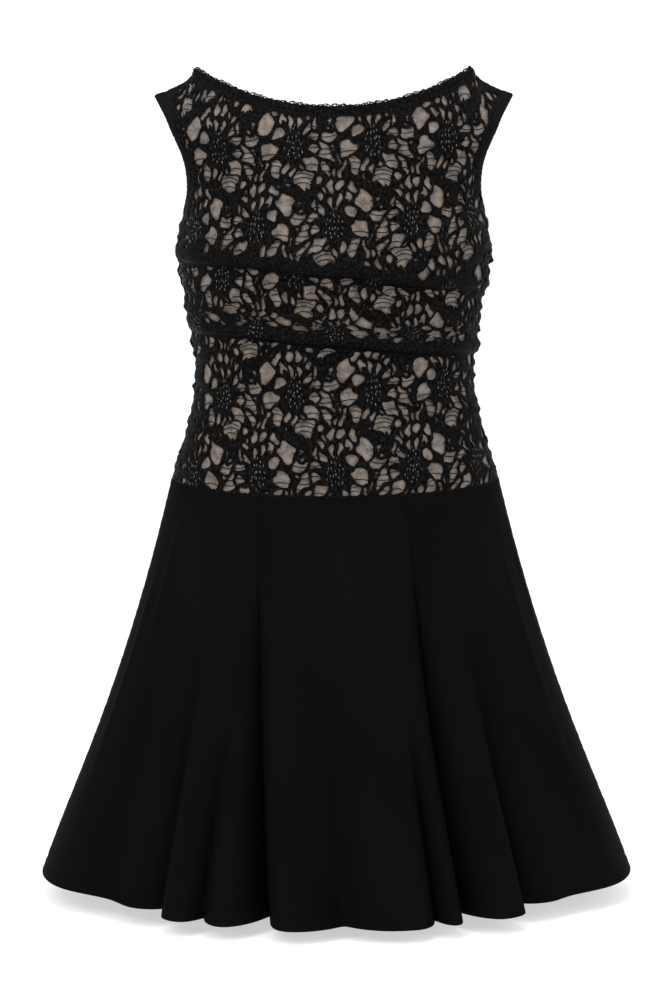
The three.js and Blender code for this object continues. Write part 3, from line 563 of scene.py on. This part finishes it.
    def find(self, s, t):
        """The grid places, across and up, of points in the flat cloth, and which of them lie on the panel"""
        rows, columns = self.s.shape
        s_up, s_across = np.gradient(self.s)
        t_up, t_across = np.gradient(self.t)
        across = columns / 2 + s / (self.s[rows // 2, -1] * 2 / columns)
        up = np.interp(t, self.t[:, columns // 2], np.arange(rows))
        for _ in range(14):
            across = np.clip(across, 0, columns - 1.001)
            up = np.clip(up, 0, rows - 1.001)
            miss_s = s - between(self.s, across, up)
            miss_t = t - between(self.t, across, up)
            a, b = between(s_across, across, up), between(s_up, across, up)
            c, d = between(t_across, across, up), between(t_up, across, up)
            whole = a * d - b * c
            across = across + np.clip((miss_s * d - miss_t * b) / whole, -8, 8)
            up = up + np.clip((miss_t * a - miss_s * c) / whole, -8, 8)
        inside = (across > 1) & (across < columns - 2) & (up > 1) & (up < rows - 3)
        near = (np.abs(miss_s) < 0.5) & (np.abs(miss_t) < 0.5)
        return np.clip(across, 0, columns - 1.001), np.clip(up, 0, rows - 1.001), inside & near

    def placed(self, out, share=1.0):
        """Points at a distance out from the base surface, moved by a share of the folds' displacement"""
        moved = self.point + self.out * (out + share * self.rise)[..., None]
        moved[..., 2] -= share * self.drop
        return moved


# Lace pattern. Below 0 is a gap; above it, the value is about the distance in mm from the nearest gap.
def gap_distance(x, y, centre_x, centre_y, length, width, tilt, taper, bend, power):
    if power < ROUND_POWER:
        length, width, power = length * GAP_GROWTH, width * GAP_GROWTH, power * POINTEDNESS
    cosine, sine = math.cos(math.radians(tilt)), math.sin(math.radians(tilt))
    u = ((x - centre_x) * cosine + (y - centre_y) * sine) / length
    v = ((y - centre_y) * cosine - (x - centre_x) * sine) / width
    held = np.clip(u, -1.4, 1.4)
    v = (v - bend * (0.5 - held * held)) / (1 + taper * held)
    return ((np.abs(u) ** power + np.abs(v) ** power) ** (1 / power) - 1) * width


def leaf_depth(x, y, start_x, start_y, end_x, end_y, half_width, bend, blunt):
    length = math.hypot(end_x - start_x, end_y - start_y)
    along_x, along_y = (end_x - start_x) / length, (end_y - start_y) / length
    u = ((x - start_x) * along_x + (y - start_y) * along_y) / length
    v = (y - start_y) * along_x - (x - start_x) * along_y
    held = np.clip(u, 0, 1)
    swell = 4 * held * (1 - held)
    half = half_width * mix(blunt, 1, swell**0.7)
    return half - np.hypot(v - bend * swell, (u - held) * length)


def lace_field(flat_x, flat_y):
    sway = np.sin(flat_y * 0.4 + 1.2 * np.sin(flat_x * 0.13)) + 0.8 * np.sin(flat_y * 0.17 + 1)
    x = flat_x + CORD_WAVER * sway
    y = flat_y + CORD_WAVER * 0.8 * np.sin(flat_x * 0.36 + 1.4 * np.sin(flat_y * 0.11))
    nearest = np.full(x.shape, 1e3)
    second = nearest.copy()
    leaves = -nearest
    row_here = np.floor(y / REPEAT_UP + 0.5)
    for row_step in (-1, 0, 1):
        row = row_here + row_step
        odd = np.mod(row, 2)
        local_y = y - row * REPEAT_UP
        shifted = x - odd * REPEAT_ACROSS / 2
        column_here = np.floor(shifted / REPEAT_ACROSS + 0.5)
        for column_step in (-1, 0, 1):
            local_x = (shifted - (column_here + column_step) * REPEAT_ACROSS) * (2 * odd - 1)
            for gap in GAPS:
                value = gap_distance(local_x, local_y, *gap)
                closer = value < nearest
                second = np.where(closer, nearest, np.minimum(second, value))
                nearest = np.where(closer, value, nearest)
            for leaf in LEAVES:
                leaves = np.maximum(leaves, leaf_depth(local_x, local_y, *leaf))
    cords = np.maximum(nearest + GAP_TRIM, (nearest - second) / 2 + LEAST_CORD / 2)
    waver = np.sin(x * 1.15 + 1.3 * np.sin(y * 0.5)) * np.sin(y * 1.05 + 1.1 * np.sin(x * 0.45))
    return np.maximum(cords, leaves) + EDGE_WAVER * waver


def flower_place(x, y):
    """Each point's place from the middle of its own flower, as that flower is charted"""
    row = np.floor(y / REPEAT_UP + 0.5)
    odd = np.mod(row, 2)
    shifted = x - odd * REPEAT_ACROSS / 2
    local_x = shifted - np.floor(shifted / REPEAT_ACROSS + 0.5) * REPEAT_ACROSS
    return local_x * (2 * odd - 1), y - row * REPEAT_UP


# The part of a cell that is cloth, for each of the 15 sets of its corners that can lie in the cloth, where
# corner k counts 2**k. The corners are 0 to 3, anticlockwise from the lower left one, and the crossings of
# its edges 4 to 7, from the lower edge round. Two crossings in a row are a cut along a gap.
CELL_SHAPES = [
    (0, 4, 7), (1, 5, 4), (0, 1, 5, 7), (2, 6, 5), (0, 4, 5, 2, 6, 7),
    (1, 2, 6, 4), (0, 1, 2, 6, 7), (3, 7, 6), (0, 4, 6, 3), (1, 5, 6, 3, 7, 4),
    (0, 1, 5, 6, 3), (2, 3, 7, 5), (0, 4, 5, 2, 3), (1, 2, 3, 7, 4), (0, 1, 2, 3),
]


def cut_grid(field, layers):
    """Cuts the gaps out of a grid. layers are arrays on the grid, and each comes back at the kept points.
    Returns the layers, the polygons, and the pairs of points along the gaps' edges."""
    rows, columns = field.shape
    layers = [layer.reshape(rows * columns, -1) for layer in layers]
    kept = field > 0
    total = int(kept.sum())
    number = np.full(rows * columns, -1)
    number[kept.ravel()] = np.arange(total)
    parts = [[layer[kept.ravel()] for layer in layers]]
    index = np.arange(rows * columns).reshape(rows, columns)
    crossings = []
    for a, b in ((index[:, :-1], index[:, 1:]), (index[:-1], index[1:])):
        a, b = a.ravel(), b.ravel()
        fa, fb = field.ravel()[a], field.ravel()[b]
        crossed = (fa > 0) != (fb > 0)
        place = np.full(len(a), -1)
        place[crossed] = total + np.arange(crossed.sum())
        total += int(crossed.sum())
        crossings.append(place)
        a, b, fa, fb = a[crossed], b[crossed], fa[crossed], fb[crossed]
        weight = np.clip(fa / (fa - fb), 0.04, 0.96)[:, None]
        parts.append([mix(layer[a], layer[b], weight) for layer in layers])
    flat_edges = crossings[0].reshape(rows, columns - 1)
    upright_edges = crossings[1].reshape(rows - 1, columns)
    around = cell_corners(number.reshape(rows, columns))
    around += [flat_edges[:-1], upright_edges[:, 1:], flat_edges[1:], upright_edges[:, :-1]]
    corner_set = sum(corner * 2**k for k, corner in enumerate(cell_corners(kept)))
    polygons, cuts = [], []
    for code, shape in enumerate(CELL_SHAPES, start=1):
        here = [points[corner_set == code] for points in around]
        polygons += np.stack([here[k] for k in shape], axis=-1).tolist()
        pairs = [pair for pair in zip(shape, shape[1:]) if min(pair) > 3]
        cuts += [np.stack([here[k] for k in pair], axis=-1) for pair in pairs]
    joined = [np.concatenate(layer) for layer in zip(*parts)]
    return joined, polygons, np.concatenate(cuts)


# Meshes
def piece(name, points, faces, material, uv=None, flip=False):
    mesh = bpy.data.meshes.new(name)
    if flip:
        faces = [face[::-1] for face in faces]
    mesh.from_pydata((np.asarray(points) * MM).tolist(), [], faces)
    mesh.polygons.foreach_set("use_smooth", np.ones(len(mesh.polygons), bool))
    if uv is not None:
        loops = np.empty(len(mesh.loops), np.int32)
        mesh.loops.foreach_get("vertex_index", loops)
        layer = mesh.uv_layers.new(name="flat")
        layer.data.foreach_set("uv", (np.asarray(uv)[loops] * MM).ravel())
    mesh.update()
    obj = bpy.data.objects.new(name, mesh)
    bpy.context.scene.collection.objects.link(obj)
    obj.data.materials.append(material)
    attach(obj, "root")
    return obj


def grid_faces(rows, columns, start=0, turned=False):
    corners = cell_corners(start + np.arange(rows * columns).reshape(rows, columns))
    if turned:
        corners = corners[::-1]
    return np.stack(corners, axis=-1).reshape(-1, 4).tolist()


def border(rows, columns):
    index = np.arange(rows * columns).reshape(rows, columns)
    return np.concatenate([index[0, :-1], index[:-1, -1], index[-1, :0:-1], index[:0:-1, 0]])


def shell(name, outer, inner, material, uv, flip=False):
    """A cloth with two skins and a narrow wall along its edges, from two grids of points"""
    rows, columns = outer.shape[:2]
    count = rows * columns
    faces = grid_faces(rows, columns) + grid_faces(rows, columns, count, turned=True)
    rim = border(rows, columns)
    ahead = np.roll(rim, -1)
    faces += np.stack([rim, rim + count, ahead + count, ahead], axis=-1).tolist()
    points = np.concatenate([outer.reshape(-1, 3), inner.reshape(-1, 3)])
    flat = np.concatenate([uv.reshape(-1, 2)] * 2)
    return piece(name, points, faces, material, flat, flip)


# Materials
def link(tree, output, socket):
    tree.links.new(output, socket)


def new_material(name, colour, roughness, specular=0.5):
    material = bpy.data.materials.new(name)
    material.use_nodes = True
    shader = material.node_tree.nodes["Principled BSDF"]
    shader.inputs["Base Color"].default_value = (*colour, 1)
    shader.inputs["Roughness"].default_value = roughness
    shader.inputs["Specular IOR Level"].default_value = specular
    return material, material.node_tree, shader


def add(tree, kind, setting=None, **values):
    node = tree.nodes.new(kind)
    if setting:
        setattr(node, *setting)
    for key, value in values.items():
        node.inputs[key.replace("_", " ")].default_value = value
    return node


def noise(tree, across, up, detail, roughness=0.5):
    """Noise over the flat cloth, in waves a metre across and up it"""
    node = add(tree, "ShaderNodeTexNoise", Scale=1.0, Detail=detail, Roughness=roughness)
    mapping = add(tree, "ShaderNodeMapping", Scale=(across, up, 1))
    link(tree, add(tree, "ShaderNodeTexCoord").outputs["UV"], mapping.inputs["Vector"])
    link(tree, mapping.outputs["Vector"], node.inputs["Vector"])
    return node.outputs["Fac"]


def bumped(tree, shader, height, strength, depth, previous=None):
    bump = add(tree, "ShaderNodeBump", Strength=strength, Distance=depth)
    link(tree, height, bump.inputs["Height"])
    if previous is not None:
        link(tree, previous, bump.inputs["Normal"])
    link(tree, bump.outputs["Normal"], shader.inputs["Normal"])
    return bump.outputs["Normal"]


def spread(tree, value, low, high, most=1.0):
    """The values from low to high, spread from 0 to most"""
    node = add(tree, "ShaderNodeMapRange", From_Min=low, From_Max=high, To_Min=0.0, To_Max=most)
    link(tree, value, node.inputs["Value"])
    return node.outputs["Result"]


def tinted(tree, shader, value, dark, light):
    colours = add(tree, "ShaderNodeMix", ("data_type", "RGBA"))
    colours.inputs[6].default_value = (*dark, 1)
    colours.inputs[7].default_value = (*light, 1)
    link(tree, value, colours.inputs[0])
    link(tree, colours.outputs[2], shader.inputs["Base Color"])


def lace_material():
    material, tree, shader = new_material("black lace thread", (0.004, 0.004, 0.005), 0.55, 0.025)
    first = bumped(tree, shader, noise(tree, 260, 260, 1.0), 0.5, 0.0012)
    bumped(tree, shader, noise(tree, 1100, 320, 2.0, 0.6), 0.8, 0.0006, first)
    clumps = spread(tree, noise(tree, 330, 210, 3.0, 0.65), 0.44, 0.72)
    tinted(tree, shader, clumps, (0.0003, 0.0003, 0.0004), (0.0088, 0.0076, 0.0071))
    return material


def crepe_material():
    material, tree, shader = new_material("black crepe", (0.005, 0.005, 0.0055), 0.8, 0.015)
    bumped(tree, shader, noise(tree, 1400, 1400, 3.0, 0.7), 0.45, 0.0004)
    cloud = spread(tree, noise(tree, 9, 5, 2.0), 0.3, 0.7)
    tinted(tree, shader, cloud, (0.0019, 0.0019, 0.0022), (0.0028, 0.0028, 0.0031))
    return material


def lining_material():
    material, tree, shader = new_material("nude lining jersey", (0.32, 0.25, 0.20), 0.75)
    shader.inputs["Sheen Weight"].default_value = 0.05
    knit = noise(tree, 900, 450, 2.0)
    bumped(tree, shader, knit, 0.35, 0.0004)
    # Fine knit noise plus darker cloudy patches set the colour. The patches stand partly for a fine dark net
    # over the lace's gaps and partly for painted shade that the cords cast, laid at random
    knit_net_and_painted_shade = add(tree, "ShaderNodeMath", ("operation", "ADD"))
    link(tree, spread(tree, knit, 0.3, 0.7, 0.45), knit_net_and_painted_shade.inputs[0])
    link(tree, spread(tree, noise(tree, 105, 105, 3.0), 0.35, 0.65, 0.55), knit_net_and_painted_shade.inputs[1])
    tinted(tree, shader, knit_net_and_painted_shade.outputs[0], (0.013, 0.010, 0.008), (0.19, 0.153, 0.127))
    return material


def binding_material():
    material, tree, shader = new_material("black binding", (0.0035, 0.0035, 0.004), 0.7, 0.03)
    bumped(tree, shader, noise(tree, 900, 900, 2.0), 0.5, 0.0005)
    return material


def painted_glint_material():
    material, tree, shader = new_material("lace stitch with painted glint", (0.07, 0.07, 0.075), 0.35)
    # The light grey patches are a painted glint: they stand for light that shiny black stitches reflect
    painted_glint_tone = spread(tree, noise(tree, 420, 260, 2.0), 0.42, 0.68)
    tinted(tree, shader, painted_glint_tone, (0.004, 0.004, 0.005), (0.19, 0.19, 0.2))
    return material


LACE = lace_material()
PAINTED_GLINT = painted_glint_material()
CREPE = crepe_material()
NUDE = lining_material()
EDGING = binding_material()


# Bodice panels
def dressed(obj, node):
    """Hides the solid that a piece stands in for"""
    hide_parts(node)
    return obj


def make_lining(face):
    panel = Panel(face, *LINING_GRID)
    outer = panel.placed(LINING_OUT, LINING_FOLLOWS)
    inner = panel.placed(LINING_IN, LINING_FOLLOWS)
    uv = np.stack([panel.s, panel.z], axis=-1)
    obj = shell(f"{face}_lining", outer, inner, NUDE, uv, flip=face == "back")
    return dressed(obj, f"lining_{face}")


def lace_height(panel, field):
    """How far the lace's outer skin stands above the cloth: rounded at the gaps, with cords and petals"""
    x, y = flower_place(panel.s, panel.t)
    radius = np.hypot(x, y / 1.35)
    around = np.arctan2(x, y / 1.35)
    petals = 0.45 * np.cos(8 * around) * smooth(radius / 6) * hump(radius / 17)
    cord = 0.35 * hump((field - 1.5) / 0.9)
    vein = 0.18 * np.sin(panel.s * 2.1 + 1.5 * np.sin(panel.t * 0.11)) * smooth((field - 2.5) / 2)
    return -0.35 + 0.35 * smooth(field / 1.2) + cord + petals + vein


def flowers():
    """The middle of each flower, and -1 where it is mirrored"""
    for row in FLOWER_ROWS:
        odd = row % 2
        for column in FLOWER_COLUMNS:
            yield (column + odd / 2) * REPEAT_ACROSS, row * REPEAT_UP, 2 * odd - 1


def found(panel, flats, layers):
    """What a panel's layers hold at the flat places of many small things, and which things lie on it"""
    across, up, on_panel = panel.find(flats[..., 0], flats[..., 1])
    whole = on_panel.reshape(len(flats), -1).all(axis=1)
    return [between(layer, across[whole], up[whole]) for layer in layers], whole


def lace_threads(panel):
    """Narrow ribbons that cross the larger gaps: their points, flat places and faces"""
    t = np.linspace(0, 1, THREAD_STEPS)[:, None]
    strips = []
    for flower_s, flower_t, side in flowers():
        for x0, y0, x1, y1, x2, y2 in THREADS:
            path = bent(np.array([x0, y0]), np.array([x1, y1]), np.array([x2, y2]), t)
            heading = unit(np.gradient(path, axis=0)) * THREAD_WIDTH / 2
            sideways = np.stack([-heading[:, 1], heading[:, 0]], axis=-1)
            strip = np.stack([path - sideways * side, path + sideways * side], axis=1)
            strips.append(strip * [side, 1] + [flower_s, flower_t])
    strips = np.array(strips)
    (points,), whole = found(panel, strips, [panel.placed(LACE_OUT - THREAD_DEPTH)])
    first = np.arange(THREAD_STEPS - 1) * 2 + np.arange(len(points))[:, None] * THREAD_STEPS * 2
    faces = np.stack([first, first + 2, first + 3, first + 1], axis=-1).reshape(-1, 4)
    return points.reshape(-1, 3), strips[whole].reshape(-1, 2), faces


# A raised stitch: a low hexagon with a ridge. Places are along, across and up, as shares of its sizes.
STITCH_POINTS = np.array([
    (-0.5, 0, 0), (-0.3, -0.5, 0), (0.3, -0.5, 0), (0.5, 0, 0),
    (0.3, 0.5, 0), (-0.3, 0.5, 0), (-0.2, 0, 1), (0.2, 0, 1),
])
STITCH_FACES = [(0, 1, 6), (1, 2, 7, 6), (2, 3, 7), (3, 4, 7), (4, 5, 6, 7), (5, 0, 6)]


def lace_stitches(panel, skin):
    """The raised stitches on a panel, coloured as a painted glint: their points, flat places and faces"""
    flats = []
    for flower_s, flower_t, side in flowers():
        for x, y, tilt in STITCHES:
            x += STITCH["wander"] * math.sin(x * 3.1 + y * 1.7 + flower_s)
            y += STITCH["wander"] * math.sin(x * 1.3 + y * 2.9 + flower_t)
            turned = math.radians(90 - tilt)
            heading = np.array([math.cos(turned), math.sin(turned)])
            sideways = np.array([-heading[1], heading[0]]) * side
            place = np.array([x, y]) + STITCH_POINTS[:, :1] * heading * STITCH["length"]
            place = place + STITCH_POINTS[:, 1:2] * sideways * STITCH["width"]
            flats.append(place * [side, 1] + [flower_s, flower_t])
    flats = np.array(flats)
    (points, out), whole = found(panel, flats, [skin, panel.out])
    points = points + out * STITCH_POINTS[:, 2:] * STITCH["rise"]
    starts = np.arange(len(points)) * len(STITCH_POINTS)
    faces = [[start + corner for corner in face] for start in starts.tolist() for face in STITCH_FACES]
    return points.reshape(-1, 3), flats[whole].reshape(-1, 2), faces


def make_lace(face):
    """One panel's lace with its gaps cut through, and the stitches with a painted glint on it"""
    panel = Panel(face, *LACE_GRID)
    turned = face == "back"
    field = lace_field(panel.s, panel.t)
    height = lace_height(panel, field)
    field = field + FOLD_NARROWING * panel.doubled
    field += GATHERED_NARROWING * hump(panel.from_side / GATHER["reach"]) * panel.gathered
    field += BORDER["narrowing"] * hump(panel.from_side / BORDER["width"])
    field[:2] = np.maximum(field[:2], 0.5)
    field[-2:] = np.maximum(field[-2:], 0.5)
    skin = panel.placed(LACE_OUT + height)
    flat_places = np.stack([panel.s, panel.t], axis=-1)
    (top, flat, low), polygons, cuts = cut_grid(field, [skin, flat_places, panel.placed(LACE_IN)])
    walls = np.unique(cuts)
    below = np.full(len(top), -1)
    below[walls] = len(top) + np.arange(len(walls))
    points = np.concatenate([top, low[walls]])
    a, b = cuts[:, 0], cuts[:, 1]
    polygons += np.stack([b, a, below[a], below[b]], axis=-1).tolist()
    thread_points, thread_flats, thread_faces = lace_threads(panel)
    polygons += (thread_faces + len(points)).tolist()
    points = np.concatenate([points, thread_points])
    flats = np.concatenate([flat, flat[walls], thread_flats])
    lace = dressed(piece(f"{face}_lace", points, polygons, LACE, flats, turned), f"lace_{face}")
    points, flats, faces = lace_stitches(panel, skin)
    stitches = piece(f"{face}_lace_stitches", points, faces, PAINTED_GLINT, flats, turned)
    return lace, stitches


# Bands
def closed_curve(stations, steps):
    """A smooth closed curve through the stations, each an array of numbers"""
    stations = np.asarray(stations, float)
    around = [np.roll(stations, -k, 0) for k in (-1, 0, 1, 2)]
    curves = [curved(*around, t) for t in np.arange(steps) / steps]
    return np.stack(curves, axis=1).reshape(-1, stations.shape[1])


def band(name, stations, node, ripple, material):
    """A strip folded over an opening's edge. A station is the edge, the cloth and the way out there."""
    edge, cloth, out = stations[:, :3], stations[:, 3:6], unit(stations[:, 6:])
    run = lengths_along(edge)
    pucker = ripple * (np.sin(run * 0.9 + 1.5 * np.sin(run * 0.21)) + 0.8 * np.sin(run * 0.37 + 1))
    rings = []
    for along, height in BAND_SECTION:
        cords = ripple * (np.sin(run * 1.7 + along * 8) + np.sin(run * 0.83 - along * 11 + 2))
        swell = (pucker + cords) * (1 if height > 0 else 0.3)
        rings.append(mix(edge, cloth, along) + out * (height + swell)[:, None])
    points = np.stack(rings, axis=1)
    points = np.concatenate([points, points[:1]])
    width = len(BAND_SECTION)
    run = np.concatenate([run, [run[-1] + float(distance(edge[-1], edge[0]))]])
    uv = np.stack(np.broadcast_arrays(run[:, None], np.arange(width)[None, :] * 1.7), axis=-1)
    obj = piece(name, points.reshape(-1, 3), grid_faces(len(points), width), material, uv.reshape(-1, 2))
    return dressed(obj, node)


def neck_picots(stations):
    """Small uneven loops of thread along the neck's upper edge"""
    run = lengths_along(stations[:, :3])
    steps, sides = PICOT["steps"], PICOT["sides"]
    t = np.linspace(0, 1, steps)
    turns = np.linspace(0, 2 * math.pi, sides, endpoint=False)
    points, faces = [], []
    for k in range(int(run[-1] / PICOT["pitch"])):
        reach = PICOT["pitch"] * (2.3 + 0.7 * math.sin(k * 1.7))
        tall = PICOT["height"] * (0.75 + 0.25 * math.sin(k * 0.6) + 0.2 * math.sin(k * 2.3))
        middle = (k + 0.5 + 0.3 * math.sin(k * 2.9)) * PICOT["pitch"]
        place = np.clip(middle + reach * (t - 0.5), 0, run[-1])
        nine = np.stack([np.interp(place, run, column) for column in stations.T], axis=-1)
        base, up, facing = nine[:, :3], unit(nine[:, :3] - nine[:, 3:6]), unit(nine[:, 6:])
        path = base + up * (tall * np.sin(math.pi * t) - PICOT["sunk"])[:, None]
        path += facing * (PICOT["out"] + 0.5 * math.sin(k * 1.1))
        side = unit(np.cross(unit(np.gradient(path, axis=0)), facing))
        ring = [path + PICOT["thickness"] * (math.cos(a) * side + math.sin(a) * facing) for a in turns]
        index = (len(points) * steps * sides + np.arange(steps * sides)).reshape(steps, sides)
        points.append(np.stack(ring, axis=1).reshape(-1, 3))
        ahead = np.roll(index, -1, axis=1)
        faces += np.stack([index[:-1], index[1:], ahead[1:], ahead[:-1]], axis=-1).reshape(-1, 4).tolist()
    points = np.concatenate(points)
    obj = piece("neck_picots", points, faces, LACE, points[:, [0, 2]])
    return obj


def neck_stations(count=110):
    """Stations round the neck, from the left shoulder along the front and back along the back"""
    stations = []
    for face, order in (("front", 1), ("back", -1)):
        shares = order * np.linspace(-NECK_SHARE, NECK_SHARE, count, endpoint=False)
        levels = neck_level(face, shares, NECK_BAND_WIDTH)
        edge = top_ring(face, shares)
        cloth = bodice_point(face, shares, levels)
        out = bodice_out(face, shares, np.full(count, float(TOP_LEVEL)))
        edge[0, 1] = 0.0
        cloth[0] = shoulder_cloth(-order)
        out[0, 1] = 0.0
        stations.append(np.concatenate([edge, cloth, unit(out)], axis=1))
    return np.concatenate(stations)


def shoulder_cloth(side):
    """The seam's place on the shoulder, one band's width out from the neck point"""
    ring = top_ring("front", np.linspace(NECK_SHARE, 1, 60))
    away = distance(ring, ring[0])
    place = np.array([np.interp(NECK_BAND_WIDTH, away, ring[:, k]) for k in range(3)])
    return place * [side, 0, 1]


def armhole_half(face):
    """Stations from the underarm up to the shoulder, beside the panel's edge"""
    levels, shares = edge_share(face, ARMHOLE_BAND_WIDTH)
    edge = bodice_point(face, np.ones_like(levels), levels)
    cloth = bodice_point(face, shares, levels)
    out = bodice_out(face, (1 + shares) / 2, levels)
    first = int(np.searchsorted(levels, SIDE_SEAM_TOP_LEVEL + 1))
    t = (np.arange(first) / first)[:, None]
    bend = UNDERARM_BEND * [1, FACES[face], 1]
    edge[:first] = bent(UNDERARM, bend, edge[first], t)
    for part in (edge, cloth, out):
        part[[0, -1], 1] = 0.0
    return np.concatenate([edge, cloth, unit(out)], axis=1)


def armhole_stations():
    back, front = armhole_half("back"), armhole_half("front")
    return closed_curve(np.concatenate([back, front[1:-1][::-1]]), 4)


def mirrored(stations):
    """The same stations on the other side of the dress, with the sign of each x turned"""
    return stations[::-1] * ([-1, 1, 1] * 3)


# Skirt surface. angle goes round from the front centre towards the right, drop from 0 at the seam to 1 below.
def seam_height(cosine):
    middle = np.where(cosine >= 0, WAIST["front_z"], WAIST["back_z"])
    return mix(WAIST["edge_z"], middle, np.abs(cosine))


def flared(start, end, drop):
    return mix(start, end, drop - SKIRT_SAG * drop * (1 - drop) * (1 - drop**4))


def cone_point(angle, drop):
    turned = np.radians(angle)
    sine, cosine = np.sin(turned), np.cos(turned)
    waist_depth = np.where(cosine >= 0, WAIST["front"], WAIST["back"])
    hem_depth = np.where(cosine >= 0, SKIRT_HEM["front"], SKIRT_HEM["back"])
    hem_z = mix(SKIRT_HEM["side"], SKIRT_HEM["middle"], cosine**2)
    x = flared(WAIST["half_width"], SKIRT_HEM["half_width"], drop) * sine
    y = -flared(waist_depth, hem_depth, drop) * cosine
    return np.stack([x, y, mix(seam_height(cosine), hem_z, drop)], axis=-1)


def turned_from(angle, middle):
    """How far an angle is turned from the middle one, from -180 to 180 degrees"""
    return (angle - middle + 540) % 360 - 180


def skirt_point(angle, drop):
    across = cone_point(angle + 0.5, drop) - cone_point(angle - 0.5, drop)
    out = unit(np.stack([across[..., 1], -across[..., 0], np.zeros_like(drop)], axis=-1))
    along = np.stack([-out[..., 1], out[..., 0], np.zeros_like(drop)], axis=-1)
    point = cone_point(angle, drop)
    for valley in SKIRT_VALLEYS:
        away = turned_from(angle, mix(valley["top"], valley["hem"], drop))
        grown = np.clip((drop - valley["start"]) / (1 - valley["start"]), 0, 1) ** VALLEY_GROWTH
        share = (grown * hump(away / valley["width"]))[..., None]
        point = point - out * valley["depth"] * share + along * valley["lean"] * share
        if valley["crease"]:
            width, depth, start = valley["crease"]
            grown = np.clip((drop - start) / (1 - start), 0, 1) ** CREASE_GROWTH
            point = point - out * (depth * grown * hump(away / width))[..., None]
    return point


def skirt_relief(angle, drop, from_seam, from_hem, run):
    """Shallow waves, the rolled seams with a little pucker, and the hem's stitch line"""
    relief = np.zeros_like(drop)
    for top, hem, width, rise, first, last in SKIRT_CREASES:
        away = turned_from(angle, mix(top, hem, drop))
        ends = smooth((drop - first) / 0.2) * smooth((last - drop) / 0.25)
        relief += CREASE_RISE * rise * ends * hump(away / width)
    pucker = np.sin(run * 0.55) + 0.6 * np.sin(run * 0.23 + 2)
    relief += (0.25 + 0.18 * pucker) * hump((from_seam - 4) / 2.4) - 0.4 * hump(from_seam / 1.6)
    relief -= 0.45 * hump((from_hem - HEM_DEPTH) / 1.8)
    relief += 0.3 * smooth((HEM_DEPTH - from_hem) / 3)
    return relief


def make_gore(gore):
    columns, rows = GORE_GRID
    part = np.linspace(0, 1, columns)[None, :]
    drop = np.concatenate([np.linspace(0, 0.93, rows - HEM_ROWS), np.linspace(0.935, 1, HEM_ROWS)])[:, None]
    part, drop = np.broadcast_arrays(part, drop)
    angle = mix(mix(*gore["top"], part), mix(*gore["hem"], part), drop)
    point = skirt_point(angle, drop)
    across = skirt_point(angle + 0.2, drop) - skirt_point(angle - 0.2, drop)
    up = skirt_point(angle, drop - 0.01) - skirt_point(angle, drop + 0.01)
    out = np.cross(across, up)
    out[..., 2] = 0
    out = unit(out)
    run = lengths_along(point)
    fall = lengths_along(point.swapaxes(0, 1)).T
    from_seam = np.minimum(run, run[:, -1:] - run)
    from_hem = fall[-1:] - fall
    relief = skirt_relief(angle, drop, from_seam, from_hem, fall)
    outer = point + out * (SKIRT_OUT + relief)[..., None]
    inner = point + out * (SKIRT_IN + np.minimum(relief, 0.8))[..., None]
    uv = np.stack([run - run[:, -1:] / 2, -fall], axis=-1)
    return dressed(shell(f"{gore['name']}_cloth", outer, inner, CREPE, uv, flip=True), gore["name"])


linings = {face: make_lining(face) for face in FACES}
laces = {face: make_lace(face) for face in FACES}
neck_line = neck_stations()
neck = band("neck_band", neck_line, "neck_edging", 0.35, LACE)
picots = neck_picots(neck_line)
armhole = armhole_stations()
armhole_right = band("armhole_band_right", armhole, "armhole_binding_right", 0.1, EDGING)
armhole_left = band("armhole_band_left", mirrored(armhole), "armhole_binding_left", 0.1, EDGING)
gores = [make_gore(gore) for gore in GORES]


# Floor, light and camera
def make_floor():
    mesh = bpy.data.meshes.new("floor")
    height = SKIRT_HEM["middle"] * MM - FLOOR_GAP
    corners = [(x * FLOOR_SIZE, y * FLOOR_SIZE, height) for x, y in ((-1, -1), (1, -1), (1, 1), (-1, 1))]
    mesh.from_pydata(corners, [], [(0, 1, 2, 3)])
    floor = bpy.data.objects.new("floor", mesh)
    bpy.context.scene.collection.objects.link(floor)
    material, _, shader = new_material("pale floor", (0.5, 0.5, 0.5), 0.9)
    shader.inputs["Emission Color"].default_value = (1, 1, 1, 1)
    shader.inputs["Emission Strength"].default_value = 0.55
    mesh.materials.append(material)


def make_lights():
    world = bpy.context.scene.world or bpy.data.worlds.new("studio")
    bpy.context.scene.world = world
    world.use_nodes = True
    background = world.node_tree.nodes["Background"]
    background.inputs["Color"].default_value = (1, 1, 1, 1)
    background.inputs["Strength"].default_value = 1.12
    for lamp in LIGHTS:
        light = bpy.data.lights.new(lamp["name"], "AREA")
        light.size = lamp["size"]
        light.energy = lamp["power"]
        obj = bpy.data.objects.new(lamp["name"], light)
        obj.location = lamp["place"]
        obj.rotation_euler = (math.radians(lamp["tilt"]), 0, math.radians(lamp["turn"]))
        bpy.context.scene.collection.objects.link(obj)


def make_camera():
    camera = bpy.data.cameras.new("camera")
    camera.sensor_fit = "VERTICAL"
    camera.sensor_height = CAMERA_SENSOR
    camera.lens = CAMERA_LENS
    obj = bpy.data.objects.new("camera", camera)
    obj.location = CAMERA_PLACE
    obj.rotation_euler = (math.radians(90 - CAMERA_DOWN), math.radians(CAMERA_ROLL), 0)
    bpy.context.scene.collection.objects.link(obj)
    bpy.context.scene.camera = obj


make_floor()
make_lights()
make_camera()
bpy.context.scene.view_settings.view_transform = "Standard"
